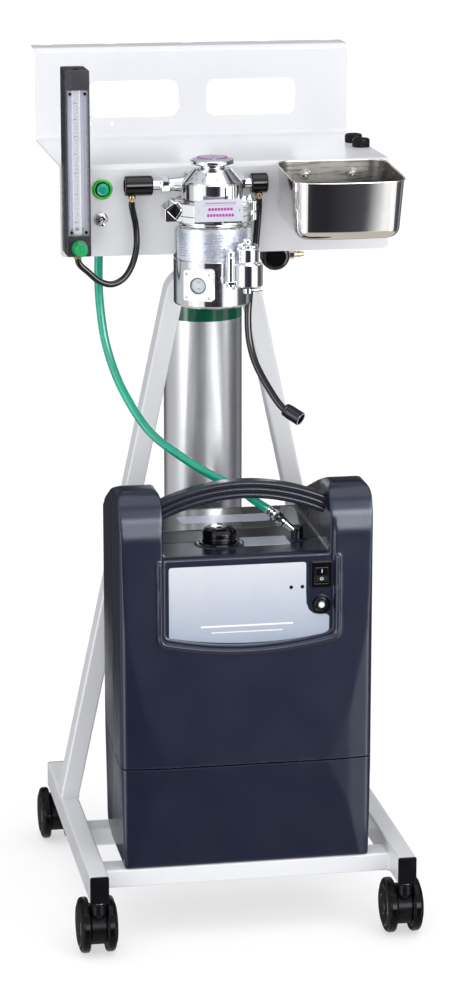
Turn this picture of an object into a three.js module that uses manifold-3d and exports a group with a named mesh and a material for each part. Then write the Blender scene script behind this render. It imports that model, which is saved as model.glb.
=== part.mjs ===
// Veterinary anesthesia machine on a wheeled A-frame stand: a folded shelf panel with flowmeter,
// flush button, supply selector, vaporizer and utility basin, an oxygen cylinder hung behind it,
// and an oxygen concentrator standing on the cart. Millimetres, +Z up, the front faces -Y.

import * as THREE from 'three';
import { mergeVertices } from 'three/addons/utils/BufferGeometryUtils.js';
import Module from 'manifold-3d';

const wasm = await Module();
wasm.setup();

// ---------------------------------------------------------------- driving dimensions
// Y is counted from the front caster's wheel axle until the last lines centre the whole object.
const GAP = 0.3;                    // clearance between neighbouring pieces
const TUBE_NARROW = 25.4;           // rectangular steel tube, 1 x 1.5 inch
const TUBE_WIDE = 38.1;
const TUBE_WALL = 2;
const SHEET = 2;                    // folded steel sheet

const RAIL_X = 208.5;               // centre of each floor rail
const RAIL_FRONT = -36;
const RAIL_REAR = 442;
const RAIL_BOTTOM = 79;
const RAIL_TOP = RAIL_BOTTOM + TUBE_WIDE;
const END_CAP = 3;
const CROSS_TOP = RAIL_BOTTOM + TUBE_NARROW;
const FRONT_CROSS_Y = 38.5;
const MID_CROSS_Y = 201;

const WHEEL_RADIUS = 37.5;
const CASTER_TRAIL = 20;            // axle behind the swivel stem
const FRONT_AXLE_Y = 0;
const REAR_AXLE_Y = 445;
const WHEEL_INNER = 11.2;           // half the gap between twin wheels
const WHEEL_OUTER = 26.5;

const FRAME_Y = 299;                // middle of the A-frame tubes
const FRAME_FOOT_X = 208.2;
const FRAME_TOP_X = 50;
const FRAME_TOP_Z = 868;
const FRAME_BEND = 25;

const PANEL_HALF = 222;             // folded panel, half width
const PANEL_FRONT_Y = 185;
const PANEL_BACK_Y = 455;
const PANEL_FLANGE_Y = 505;
const PANEL_LOW = 908;
const SHELF_TOP = 1030;
const PANEL_HIGH = 1157;

const BASIN_X = 140;
const BASIN_WIDTH = 152;
const BASIN_DEPTH = 150;
const BASIN_HEIGHT = 79;
const BASIN_WALL = 1.2;
const BASIN_DRAFT = THREE.MathUtils.degToRad(4);
const BASIN_BOLT_X = [107, 171];
const BASIN_BOLT_Z = 1011;

const METER_X = -204;               // flowmeter
const METER_WIDTH = 31.75;
const METER_FRONT = 132;
const METER_LOW = 917;
const METER_HIGH = 1161;
const METER_WINDOW_LOW = 944.5;
const METER_WINDOW_HIGH = 1134;
const METER_TUBE_Y = 151;

const FLUSH_X = -165.7;
const FLUSH_Z = 997.4;
const SELECTOR_X = -167.9;
const SELECTOR_Z = 957.8;

const VAP_X = -30.5;                // vaporizer axis
const VAP_Y = 115;
const VAP_RADIUS = 51;
const VAP_LOW = 853;
const VAP_SHOULDER = 963;
const VAP_COLLAR = 992;
const DIAL_TOP = 1049;                // crown of the domed cap on the dial
const PORT_Y = 167;                 // gas ports behind the vaporizer
const PORT_Z = 1003.5;

const CYLINDER_X = 5;               // E size oxygen cylinder
const CYLINDER_Y = 405;
const CYLINDER_RADIUS = 55.6;
const CYLINDER_LOW = 212;
const CYLINDER_SHOULDER = 805;
const CYLINDER_NECK = 862;
const YOKE_Z = 900;                 // middle of the yoke, screw and regulator
const GAUGE_Z = 882.5;              // middle of the pressure gauge
const COUPLING_START = [38, 90, 577.5];   // where the oxygen hose enters its coupling

const CASE_HALF = 170;              // oxygen concentrator
const CASE_LOW = CROSS_TOP + GAP;
const CASE_SEAM = 245;
const CASE_FRONT = 14;
const CASE_BACK = 262;
const CASE_SHELL_SPLIT = 97;
const CASE_REAR_TAPER = 10;         // the rear shell narrows by this much on each side
const CASE_TOP = 620;
const CASE_WALL = 3;
// The rounded front of the shoulders: y and the drop below the top.
const CASE_CROWN = [[56, 1], [43, 7], [33, 18], [26.5, 35], [22.6, 60]];
const SHOULDER_CORNER = 15;
const DECK_HALF = 112;
const DECK_Z = 530;
const HANDLE_Y = 60;
const OUTLET_X = 80;                // oxygen outlet post on the deck
const OUTLET_Y = 92;
const OUTLET_TOP = 553;
const FILTER_X = -26;               // filter cap on the deck
const FILTER_Y = 88;
const FILTER_RADIUS = 22.8;
const FILTER_TOP = 557;
const SWITCH_X = 100;               // rocker switch, with the reset button below it
const SWITCH_Z = 501;
const RESET_Z = 459.7;
const RESET_BORE = 4.6;
const ROCKER_TILT = THREE.MathUtils.degToRad(8);   // the rocker rests with its lower half pressed in

// ---------------------------------------------------------------- colours and finishes
function finish(color, roughness, metalness) {
  return () => new THREE.MeshStandardMaterial({ color, roughness, metalness });
}

const WHITE_COAT = finish(0xe9ebee, 0.35, 0);
const BLACK_PLASTIC = finish(0x17171a, 0.35, 0);
const NAVY_PLASTIC = finish(0x2d303e, 0.5, 0);
const DARK_RUBBER = finish(0x141416, 0.45, 0);
const CHROME = finish(0xd8dade, 0.08, 1);
const STAINLESS = finish(0xc4c5c6, 0.15, 1);
const BRASS = finish(0xc9a765, 0.25, 1);
const ALUMINIUM = finish(0xb4b6b8, 0.4, 1);
const GREEN_PLASTIC = finish(0x0b9550, 0.4, 0);
const GREEN_HOSE = finish(0x0fa37c, 0.3, 0);
const CLEAR_ACRYLIC = finish(0xdfe4ea, 0.05, 0);
const WHITE_PLASTIC = finish(0xf2f2f0, 0.4, 0);
const STEEL = finish(0x8e9094, 0.35, 1);
const ZEOLITE_CAN = finish(0xa8abb0, 0.5, 1);

// ---------------------------------------------------------------- solids
function toSolid(geometry) {
  const plain = geometry.clone();
  plain.deleteAttribute('normal');
  plain.deleteAttribute('uv');
  const merged = mergeVertices(plain, 1e-4);
  const positions = new Float32Array(merged.attributes.position.array);
  const triangles = new Uint32Array(merged.index.array);
  if (signedVolume(positions, triangles) < 0) {
    for (let i = 0; i < triangles.length; i += 3) {
      [triangles[i], triangles[i + 1]] = [triangles[i + 1], triangles[i]];
    }
  }
  return new wasm.Manifold(new wasm.Mesh({ numProp: 3, vertProperties: positions, triVerts: triangles }));
}

function signedVolume(positions, triangles) {
  const [a, b, c] = [new THREE.Vector3(), new THREE.Vector3(), new THREE.Vector3()];
  let volume = 0;
  for (let i = 0; i < triangles.length; i += 3) {
    a.fromArray(positions, 3 * triangles[i]);
    b.fromArray(positions, 3 * triangles[i + 1]);
    c.fromArray(positions, 3 * triangles[i + 2]);
    volume += a.dot(b.cross(c)) / 6;
  }
  return volume;
}

function toGeometry(solid) {
  const mesh = solid.getMesh();
  const geometry = new THREE.BufferGeometry();
  geometry.setAttribute('position', new THREE.BufferAttribute(new Float32Array(mesh.vertProperties), 3));
  geometry.setIndex(new THREE.BufferAttribute(new Uint32Array(mesh.triVerts), 1));
  geometry.computeVertexNormals();
  return geometry;
}

function join(...geometries) {
  return toGeometry(geometries.map(toSolid).reduce((whole, next) => whole.add(next)));
}

function cut(geometry, ...tools) {
  return toGeometry(tools.map(toSolid).reduce((whole, tool) => whole.subtract(tool), toSolid(geometry)));
}

function overlap(...geometries) {
  return toGeometry(geometries.map(toSolid).reduce((whole, next) => whole.intersect(next)));
}

// A block given by its lowest and highest corners.
function block(x0, x1, y0, y1, z0, z1) {
  const geometry = new THREE.BoxGeometry(x1 - x0, y1 - y0, z1 - z0);
  return geometry.translate((x0 + x1) / 2, (y0 + y1) / 2, (z0 + z1) / 2);
}

// A round bar along an axis, from its start point; the end radius may differ.
function rod(axis, x, y, z, length, radius, segments = 12, endRadius = radius) {
  const geometry = new THREE.CylinderGeometry(endRadius, radius, length, segments);
  geometry.translate(0, length / 2, 0);
  if (axis === 'x') geometry.rotateZ(-Math.PI / 2);
  if (axis === 'z') geometry.rotateX(Math.PI / 2);
  return geometry.translate(x, y, z);
}

// A turned shape about Z from [radius, height] pairs that start and end on the axis or close up.
function turned(profile, x, y, segments = 24) {
  const points = profile.map(([radius, height]) => new THREE.Vector2(radius, height));
  return new THREE.LatheGeometry(points, segments).rotateX(Math.PI / 2).translate(x, y, 0);
}

function roundedOutline(x0, x1, y0, y1, radius) {
  const shape = new THREE.Shape();
  shape.moveTo(x0 + radius, y0);
  shape.lineTo(x1 - radius, y0);
  shape.absarc(x1 - radius, y0 + radius, radius, -Math.PI / 2, 0);
  shape.lineTo(x1, y1 - radius);
  shape.absarc(x1 - radius, y1 - radius, radius, 0, Math.PI / 2);
  shape.lineTo(x0 + radius, y1);
  shape.absarc(x0 + radius, y1 - radius, radius, Math.PI / 2, Math.PI);
  shape.lineTo(x0, y0 + radius);
  shape.absarc(x0 + radius, y0 + radius, radius, Math.PI, 1.5 * Math.PI);
  return shape;
}

function polygon(points) {
  return new THREE.Shape(points.map(([x, y]) => new THREE.Vector2(x, y)));
}

// Extrusions of a flat shape: drawn in XZ and run along Y, drawn in YZ and run along X, or in XY along Z.
function alongY(shape, y0, y1, curveSegments = 2) {
  const geometry = new THREE.ExtrudeGeometry(shape, { depth: y1 - y0, bevelEnabled: false, curveSegments });
  return geometry.rotateX(Math.PI / 2).translate(0, y1, 0);
}

function alongX(shape, x0, x1, curveSegments = 2) {
  const geometry = new THREE.ExtrudeGeometry(shape, { depth: x1 - x0, bevelEnabled: false, curveSegments });
  return geometry.rotateX(Math.PI / 2).rotateZ(Math.PI / 2).translate(x0, 0, 0);
}

function alongZ(shape, z0, z1, curveSegments = 2) {
  const geometry = new THREE.ExtrudeGeometry(shape, { depth: z1 - z0, bevelEnabled: false, curveSegments });
  return geometry.translate(0, 0, z0);
}

// A strip of even thickness that follows a line with rounded bends.
function bentStrip(points, bend, thickness, steps = 4) {
  const corners = points.map(([x, y]) => new THREE.Vector2(x, y));
  const direction = (i) => corners[i + 1].clone().sub(corners[i]).normalize();
  const stations = [{ at: corners[0], along: direction(0) }];
  for (let i = 1; i < corners.length - 1; i++) {
    const into = direction(i - 1);
    const out = direction(i);
    const turn = Math.atan2(into.cross(out), into.dot(out));
    const setback = bend * Math.tan(Math.abs(turn) / 2);
    const side = Math.sign(turn);
    const start = corners[i].clone().addScaledVector(into, -setback);
    const centre = start.clone().add(new THREE.Vector2(-into.y, into.x).multiplyScalar(bend * side));
    for (let k = 0; k <= steps; k++) {
      const along = into.clone().rotateAround(new THREE.Vector2(), (turn * k) / steps);
      const radial = new THREE.Vector2(along.y, -along.x).multiplyScalar(bend * side);
      stations.push({ at: centre.clone().add(radial), along });
    }
  }
  stations.push({ at: corners.at(-1), along: direction(corners.length - 2) });
  const offset = (sign) => stations.map(({ at, along }) =>
    at.clone().add(new THREE.Vector2(-along.y, along.x).multiplyScalar((sign * thickness) / 2)));
  return new THREE.Shape([...offset(1), ...offset(-1).reverse()]);
}

// A round cord through the given points.
function cord(points, radius, steps) {
  const sides = 8;
  const path = new THREE.CatmullRomCurve3(points.map((point) => new THREE.Vector3(...point)));
  const circle = new THREE.Shape().absarc(0, 0, radius, 0, 2 * Math.PI);
  return new THREE.ExtrudeGeometry(circle, {
    extrudePath: path,
    steps,
    bevelEnabled: false,
    curveSegments: sides / 2,
  });
}

// Turn a shape made around the origin and put it in place.
function placed(geometry, x, y, z, turnX = 0, turnY = 0, turnZ = 0) {
  return geometry.rotateX(turnX).rotateY(turnY).rotateZ(turnZ).translate(x, y, z);
}

const machine = new THREE.Group();

function add(name, geometry, material) {
  const mesh = new THREE.Mesh(toGeometry(toSolid(geometry)), material());
  mesh.name = name;
  machine.add(mesh);
}

// ---------------------------------------------------------------- cart: rails, cross members, A-frame
// The rails and cross members are one weldment. The cross members' bores open into the rails'.
function addFloorFrame() {
  const half = TUBE_NARROW / 2;
  const corner = 3;
  const [tubes, bores] = [[], []];
  for (const x of [-RAIL_X, RAIL_X]) {
    const outline = roundedOutline(x - half, x + half, RAIL_BOTTOM, RAIL_TOP, corner);
    tubes.push(alongY(outline, RAIL_FRONT + END_CAP, RAIL_REAR - END_CAP, 1));
    bores.push(block(x - half + TUBE_WALL, x + half - TUBE_WALL, RAIL_FRONT, RAIL_REAR,
      RAIL_BOTTOM + TUBE_WALL,
      RAIL_TOP - TUBE_WALL));
    for (const axleY of [FRONT_AXLE_Y, REAR_AXLE_Y]) {
      bores.push(rod('z', x, axleY - CASTER_TRAIL, RAIL_BOTTOM - 1, TUBE_WALL + 2, 6, 16));
    }
  }
  for (const y of [FRONT_CROSS_Y, MID_CROSS_Y]) {
    const outline = roundedOutline(y - TUBE_WIDE / 2, y + TUBE_WIDE / 2, RAIL_BOTTOM, CROSS_TOP, corner);
    tubes.push(alongX(outline, -RAIL_X + half - 1, RAIL_X - half + 1, 1));
    bores.push(block(-RAIL_X, RAIL_X, y - TUBE_WIDE / 2 + TUBE_WALL, y + TUBE_WIDE / 2 - TUBE_WALL,
      RAIL_BOTTOM + TUBE_WALL, CROSS_TOP - TUBE_WALL));
  }
  add('floor_frame', cut(join(...tubes), ...bores), WHITE_COAT);
}

function addEndCap(name, side, end) {
  const x = side * RAIL_X;
  const half = TUBE_NARROW / 2;
  const front = end < 0;
  const face = front
    ? [RAIL_FRONT, RAIL_FRONT + END_CAP - GAP]
    : [RAIL_REAR - END_CAP + GAP, RAIL_REAR];
  const plug = front ? [face[1] - 1, face[1] + 6] : [face[0] - 6, face[0] + 1];
  const inset = TUBE_WALL + GAP;
  const plate = alongY(roundedOutline(x - half, x + half, RAIL_BOTTOM, RAIL_TOP, 3), ...face, 1);
  const stopper = block(x - half + inset, x + half - inset, ...plug, RAIL_BOTTOM + inset, RAIL_TOP - inset);
  add(name, join(plate, stopper), BLACK_PLASTIC);
}

function addFrame() {
  const centreTop = FRAME_TOP_Z - TUBE_NARROW / 2;
  const slope = (FRAME_FOOT_X - FRAME_TOP_X) / (centreTop - RAIL_TOP);
  const below = 20;
  const footX = FRAME_FOOT_X + slope * below;
  const line = [[-footX, RAIL_TOP - below], [-FRAME_TOP_X, centreTop], [FRAME_TOP_X, centreTop],
    [footX, RAIL_TOP - below]];
  const half = TUBE_WIDE / 2;
  const outer = alongY(bentStrip(line, FRAME_BEND, TUBE_NARROW, 5), FRAME_Y - half, FRAME_Y + half);
  const inner = alongY(bentStrip(line, FRAME_BEND, TUBE_NARROW - 2 * TUBE_WALL, 5),
    FRAME_Y - half + TUBE_WALL, FRAME_Y + half - TUBE_WALL);
  const belowRails = block(-400, 400, 0, 600, 0, RAIL_TOP + GAP);
  add('a_frame', cut(outer, inner, belowRails), WHITE_COAT);
}

function addShelfSupport() {
  const half = TUBE_NARROW / 2;
  const plateThickness = 4;
  const plateTop = SHELF_TOP - SHEET - GAP;
  const foot = FRAME_TOP_Z + GAP;
  const outline = roundedOutline(-half, half, FRAME_Y - TUBE_WIDE / 2, FRAME_Y + TUBE_WIDE / 2, 3);
  const post = alongZ(outline, foot, plateTop - 1, 1);
  const plate = alongZ(roundedOutline(-70, 70, 268, 428, 8), plateTop - plateThickness, plateTop, 1);
  const bore = block(-half + TUBE_WALL, half - TUBE_WALL, FRAME_Y - TUBE_WIDE / 2 + TUBE_WALL,
    FRAME_Y + TUBE_WIDE / 2 - TUBE_WALL, foot - 1, plateTop - plateThickness);
  add('shelf_post', cut(join(post, plate), bore), WHITE_COAT);
}

// ---------------------------------------------------------------- casters
function addCaster(corner, x, axleY) {
  const stemY = axleY - CASTER_TRAIL;
  const axleZ = WHEEL_RADIUS;
  const hoodHalf = WHEEL_INNER - 0.9;
  const hoodRadius = 29;
  const hoodDisc = rod('x', x - hoodHalf, axleY, axleZ, 2 * hoodHalf, hoodRadius, 16);
  const hoodFoot = block(x - 20, x + 20, axleY - 40, axleY + 40, -5, 17);
  const housing = rod('z', x, stemY, 42, RAIL_BOTTOM - 3 - 42, hoodHalf, 12);
  const collar = rod('z', x, stemY, 66, RAIL_BOTTOM - GAP - 66, hoodHalf - 1.5, 12);
  const stem = rod('z', x, stemY, 70, RAIL_BOTTOM + 14 - 70, 5, 10);
  const axleBore = rod('x', x - hoodHalf - 1, axleY, axleZ, 2 * hoodHalf + 2, 5, 12);
  add(`${corner}_caster_fork`, cut(join(hoodDisc, housing, collar, stem), hoodFoot, axleBore),
    BLACK_PLASTIC);

  const half = [[0, WHEEL_OUTER], [27, WHEEL_OUTER - 1], [34, WHEEL_OUTER - 3.5],
    [WHEEL_RADIUS, WHEEL_OUTER - 7],
    [WHEEL_RADIUS, WHEEL_INNER], [4, WHEEL_INNER]];
  const profile = [...half, ...half.map(([r, h]) => [r, -h]).reverse()];
  const wheels = turned(profile, 0, 0, 16);
  wheels.rotateX(Math.PI / 2).rotateZ(Math.PI / 2);
  add(`${corner}_caster_wheels`, wheels.translate(x, axleY, axleZ), BLACK_PLASTIC);
}

// ---------------------------------------------------------------- folded shelf panel
function panelHoles() {
  const through = (x, z, radius) => rod('y', x, PANEL_FRONT_Y - 2, z, SHEET + 4, radius, 12);
  const front = [
    through(FLUSH_X, FLUSH_Z, 11),
    through(SELECTOR_X, SELECTOR_Z, 6.5),
    ...BASIN_BOLT_X.map((x) => through(x, BASIN_BOLT_Z, 3.4)),
  ];
  const [gripNear, gripFar, gripLow, gripHigh, gripCorner] = [19.5, 148, 1058, 1110, 13];
  const grips = [-1, 1].map((side) => {
    const [x0, x1] = side > 0 ? [gripNear, gripFar] : [-gripFar, -gripNear];
    const outline = roundedOutline(x0, x1, gripLow, gripHigh, gripCorner);
    return alongY(outline, PANEL_BACK_Y - 2, PANEL_BACK_Y + SHEET + 2, 3);
  });
  const screwHoles = [-146, -114].map((x) => rod('y', x, PANEL_BACK_Y - 2, 1050, SHEET + 4, 3, 12));
  const slots = [];
  for (const x of [-50, 50]) {
    for (const y of [285, 410]) {
      slots.push(block(x - 4, x + 4, y - 1.2, y + 1.2, SHELF_TOP - SHEET - 2, SHELF_TOP + 2));
    }
  }
  for (const y of [244, 384]) {
    slots.push(block(212, 218, y - 1.2, y + 1.2, SHELF_TOP - SHEET - 2, SHELF_TOP + 2));
  }
  for (const x of [-200, -110, 0, 110, 200]) {
    slots.push(block(x - 9, x + 9, PANEL_FLANGE_Y - 6, PANEL_FLANGE_Y + 2, PANEL_HIGH - SHEET - 2,
      PANEL_HIGH + 2));
  }
  const plugs = [301, 350].map((y) => rod('z', 209, y, SHELF_TOP - SHEET - 2, SHEET + 4, 5, 16));
  return [...front, ...grips, ...screwHoles, ...slots, ...plugs];
}

function addPanel() {
  const inset = SHEET / 2;
  const line = [
    [PANEL_FRONT_Y + inset, PANEL_LOW],
    [PANEL_FRONT_Y + inset, SHELF_TOP - inset],
    [PANEL_BACK_Y + inset, SHELF_TOP - inset],
    [PANEL_BACK_Y + inset, PANEL_HIGH - inset],
    [PANEL_FLANGE_Y, PANEL_HIGH - inset],
  ];
  const sheet = alongX(bentStrip(line, 6, SHEET, 3), -PANEL_HALF, PANEL_HALF);
  const outline = alongY(roundedOutline(-PANEL_HALF, PANEL_HALF, PANEL_LOW, PANEL_HIGH + 20, 6), 100,
    600, 2);
  add('shelf_panel', cut(overlap(sheet, outline), ...panelHoles()), WHITE_COAT);
}

function addPortPlug(name, y) {
  const head = turned([[0, SHELF_TOP + 8], [6, SHELF_TOP + 8], [7.5, SHELF_TOP + 12], [11, SHELF_TOP + 12],
    [12, SHELF_TOP + 10.5], [12, SHELF_TOP + GAP], [4.6, SHELF_TOP + GAP], [4.6, SHELF_TOP - 8],
    [0, SHELF_TOP - 8]], 209, y, 16);
  add(name, head, BLACK_PLASTIC);
}

// ---------------------------------------------------------------- utility basin
// Rings of a rounded rectangle, drawn in with depth, form the outer and inner skins of the pan.
function basinRing(inset, depth) {
  const draft = depth * Math.tan(BASIN_DRAFT);
  const halfX = BASIN_WIDTH / 2 - inset - draft;
  const halfY = BASIN_DEPTH / 2 - inset - draft;
  const radius = Math.max(25 - inset - draft, 3);
  const outline = roundedOutline(-halfX, halfX, -halfY, halfY, radius);
  return outline.getPoints(2).slice(0, -1).map((p) => new THREE.Vector3(p.x, p.y, -depth));
}

function loftRings(rings, closedTop) {
  const count = rings[0].length;
  const positions = rings.flatMap((ring) => ring.flatMap((p) => [p.x, p.y, p.z]));
  const index = [];
  const last = closedTop ? rings.length : rings.length - 1;
  for (let r = 0; r < last; r++) {
    const next = (r + 1) % rings.length;
    for (let i = 0; i < count; i++) {
      const j = (i + 1) % count;
      const [a, b, c, d] = [r * count + i, r * count + j, next * count + j, next * count + i];
      index.push(a, c, b, a, d, c);
    }
  }
  for (const end of closedTop ? [] : [0, rings.length - 1]) {
    const centre = positions.length / 3;
    const mid = rings[end].reduce((sum, p) => sum.add(p), new THREE.Vector3()).divideScalar(count);
    positions.push(mid.x, mid.y, mid.z);
    for (let i = 0; i < count; i++) {
      const [a, b] = [end * count + i, end * count + ((i + 1) % count)];
      index.push(...(end === 0 ? [centre, a, b] : [centre, b, a]));
    }
  }
  const geometry = new THREE.BufferGeometry();
  geometry.setAttribute('position', new THREE.Float32BufferAttribute(positions, 3));
  geometry.setIndex(index);
  return geometry;
}

function addBasin() {
  const rim = 1.6;
  const floorRadius = 15;
  const skin = (inset, bottom) => {
    const rings = [basinRing(inset, rim)];
    for (let k = 0; k <= 2; k++) {
      const angle = (k / 2) * (Math.PI / 2);
      const radius = floorRadius - inset;
      rings.push(basinRing(inset + radius * (1 - Math.cos(angle)),
        bottom - radius * (1 - Math.sin(angle))));
    }
    return rings;
  };
  const outer = skin(rim, BASIN_HEIGHT);
  const inner = skin(rim + BASIN_WALL, BASIN_HEIGHT - BASIN_WALL).reverse();
  const rings = [...inner, basinRing(rim + 0.6, 0), basinRing(0.6, 0), basinRing(0, 1), basinRing(0.4,
    2.6), ...outer];
  const pan = loftRings(rings, false);
  const rearY = PANEL_FRONT_Y - GAP;
  pan.translate(0, -BASIN_DEPTH / 2, 0).rotateX(BASIN_DRAFT).translate(BASIN_X, rearY, SHELF_TOP);
  const holes = BASIN_BOLT_X.map((x) => rod('y', x, rearY - 12, BASIN_BOLT_Z, 14, 3.2, 16));
  add('basin', cut(pan, ...holes), STAINLESS);
}

function addBasinBolt(name, x) {
  const wallInside = PANEL_FRONT_Y - GAP - 1.6 - BASIN_WALL - GAP;
  const washer = rod('y', x, wallInside - 1.2, BASIN_BOLT_Z, 1.2, 7.5, 20);
  const head = rod('y', x, wallInside - 5, BASIN_BOLT_Z, 4.5, 4.6, 6);
  const shank = rod('y', x, wallInside - 2, BASIN_BOLT_Z, PANEL_FRONT_Y + 12 - wallInside, 2.7, 12);
  const nut = rod('y', x, PANEL_FRONT_Y + SHEET + GAP, BASIN_BOLT_Z, 5, 5.5, 6);
  add(name, join(washer, head, shank, nut), STEEL);
}

// ---------------------------------------------------------------- flowmeter
function addFlowmeter() {
  const half = METER_WIDTH / 2;
  const rear = PANEL_FRONT_Y - GAP;
  const body = alongY(roundedOutline(METER_X - half, METER_X + half, METER_LOW, METER_HIGH, 2),
    METER_FRONT, rear, 1);
  const wall = 2.2;
  const pocket = block(METER_X - half + wall, METER_X + half - wall, METER_FRONT - 1, 162, METER_WINDOW_LOW,
    METER_WINDOW_HIGH);
  const tubeSeat = rod('z', METER_X, METER_TUBE_Y, METER_WINDOW_LOW - 4,
    METER_WINDOW_HIGH - METER_WINDOW_LOW + 8, 5.8);
  const knobBore = rod('y', METER_X, METER_FRONT - 1, 929, 20, 3.6);
  add('flowmeter_housing', cut(body, pocket, tubeSeat, knobBore), BLACK_PLASTIC);

  const cover = block(METER_X - half + wall + GAP, METER_X + half - wall - GAP, METER_FRONT + 0.5,
    METER_FRONT + 6.5,
    METER_WINDOW_LOW + GAP, METER_WINDOW_HIGH - GAP);
  add('flowmeter_window', cover, CLEAR_ACRYLIC);
  const tubeLow = METER_WINDOW_LOW - 3.6;
  const tubeLength = METER_WINDOW_HIGH - METER_WINDOW_LOW + 7.2;
  const glass = rod('z', METER_X, METER_TUBE_Y, tubeLow, tubeLength, 5.2, 14);
  const bore = rod('z', METER_X, METER_TUBE_Y, tubeLow - 1, tubeLength + 2, 3.4, 14);
  add('flowmeter_tube', cut(glass, bore), CLEAR_ACRYLIC);
  const float = new THREE.SphereGeometry(2.6, 12, 8).translate(METER_X, METER_TUBE_Y, METER_WINDOW_LOW + 6);
  add('flowmeter_float', float, BLACK_PLASTIC);

  const knob = join(
    rod('y', METER_X, METER_FRONT - 24, 929, 20, 9.6, 24, 10.8),
    rod('y', METER_X, METER_FRONT - 5, 929, 4.4, 7.5, 20),
    rod('y', METER_X, METER_FRONT - 3, 929, 18, 2.8, 12),
  );
  add('flowmeter_knob', knob, GREEN_PLASTIC);
}

// ---------------------------------------------------------------- oxygen flush and supply selector
function addFlush() {
  const flange = rod('y', FLUSH_X, PANEL_FRONT_Y - 3.5, FLUSH_Z, 3.5 - GAP, 13.5, 28, 13.5);
  const barrel = rod('y', FLUSH_X, PANEL_FRONT_Y - 2, FLUSH_Z, 22, 10.2, 24);
  const valve = block(FLUSH_X - 13, FLUSH_X + 13, 196, 230, FLUSH_Z - 13, FLUSH_Z + 13);
  const bore = rod('y', FLUSH_X, PANEL_FRONT_Y - 5, FLUSH_Z, 25, 8.7, 24);
  add('flush_valve', cut(join(flange, barrel, valve), bore), GREEN_PLASTIC);
  const cap = rod('y', FLUSH_X, PANEL_FRONT_Y - 6, FLUSH_Z, 10, 8.2, 24);
  const pusher = rod('y', FLUSH_X, PANEL_FRONT_Y + 3, FLUSH_Z, 10, 3, 12);
  add('flush_button', join(cap, pusher), GREEN_PLASTIC);
}

function addSelector() {
  const nut = rod('y', SELECTOR_X, PANEL_FRONT_Y - 3.2, SELECTOR_Z, 3.2 - GAP, 8, 6);
  const thread = rod('y', SELECTOR_X, PANEL_FRONT_Y - 9, SELECTOR_Z, 14, 6, 20);
  const caseBlock = block(SELECTOR_X - 12, SELECTOR_X + 12, PANEL_FRONT_Y + SHEET + GAP, 222,
    SELECTOR_Z - 14,
    SELECTOR_Z + 14);
  const socket = rod('y', SELECTOR_X, PANEL_FRONT_Y - 10, SELECTOR_Z, 20, 4.9, 20);
  add('selector_valve', cut(join(nut, thread, caseBlock), socket), CHROME);

  const lever = join(
    rod('y', 0, -22, 0, 22, 2.9, 8, 1.7),
    new THREE.SphereGeometry(2.9, 8, 5).translate(0, -22, 0),
    new THREE.SphereGeometry(3.1, 8, 5),
  );
  const tilt = THREE.MathUtils.degToRad(10);
  add('selector_lever', placed(lever, SELECTOR_X, 181, SELECTOR_Z, tilt), CHROME);
}

// ---------------------------------------------------------------- vaporizer
// A point at the given distance from the vaporizer's axis, turned from straight ahead towards +X.
function aroundVaporizer(distance, degrees) {
  const angle = THREE.MathUtils.degToRad(degrees);
  return [VAP_X + distance * Math.sin(angle), VAP_Y - distance * Math.cos(angle)];
}

function addVaporizer() {
  const profile = [[0, VAP_LOW], [47, VAP_LOW], [VAP_RADIUS, VAP_LOW + 4], [VAP_RADIUS, VAP_SHOULDER - 8],
    [46, VAP_SHOULDER - 2], [50, VAP_SHOULDER], [50, VAP_COLLAR - 2], [48, VAP_COLLAR], [14, VAP_COLLAR],
    [14, 999], [0, 999]];
  const core = turned(profile, VAP_X, VAP_Y, 28);
  const lug = block(-95, -66, 96, 134, 965, 991);
  const lugTop = block(-110, -84, 80, 150, 985, 1010);
  const lugCut = placed(block(-9, 9, -3, 3, -9, 9), -82, 96, 979, 0, Math.PI / 4);
  const lockBoss = rod('z', 16, 96, 966, 26, 9, 16);
  const lockTip = rod('z', 16, 96, 991, 8, 6, 16, 1);
  const backBlock = block(VAP_X - 24, VAP_X + 24, 157, 176, 930, 1016);
  const plateY = VAP_Y - 50 - GAP;
  const plate = alongY(roundedOutline(VAP_X - 32, VAP_X + 32, 969, 998, 1.5), plateY - 1.5, plateY + 6, 1);
  const solid = join(core, lug, lockBoss, lockTip, backBlock, plate, ...gasPort(-1, -80), ...gasPort(1,
    12));
  add('vaporizer_body', cut(solid, lugTop, lugCut), CHROME);

  const bracket = join(
    block(VAP_X - 19, VAP_X + 19, 176 + GAP, PANEL_FRONT_Y - GAP, 940, 1010),
    block(VAP_X - 26, VAP_X + 26, 181, PANEL_FRONT_Y - GAP, 934, 1018),
  );
  add('vaporizer_bracket', bracket, STEEL);

  const dial = [[15, VAP_COLLAR + GAP], [40, VAP_COLLAR + GAP], [40, 1014], [38.5, 1016], [24, 1032],
    [17.5, 1033.5], [17.5, 1037], [27, 1037.5], [29.2, 1039], [29.2, 1042.5], [28, 1043.6],
    [16, DIAL_TOP - 1.6], [0, DIAL_TOP], [0, 1001.5], [15, 1001.5], [15, VAP_COLLAR + GAP]];
  add('vaporizer_dial', turned(dial, VAP_X, VAP_Y, 20), CHROME);
}

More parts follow.
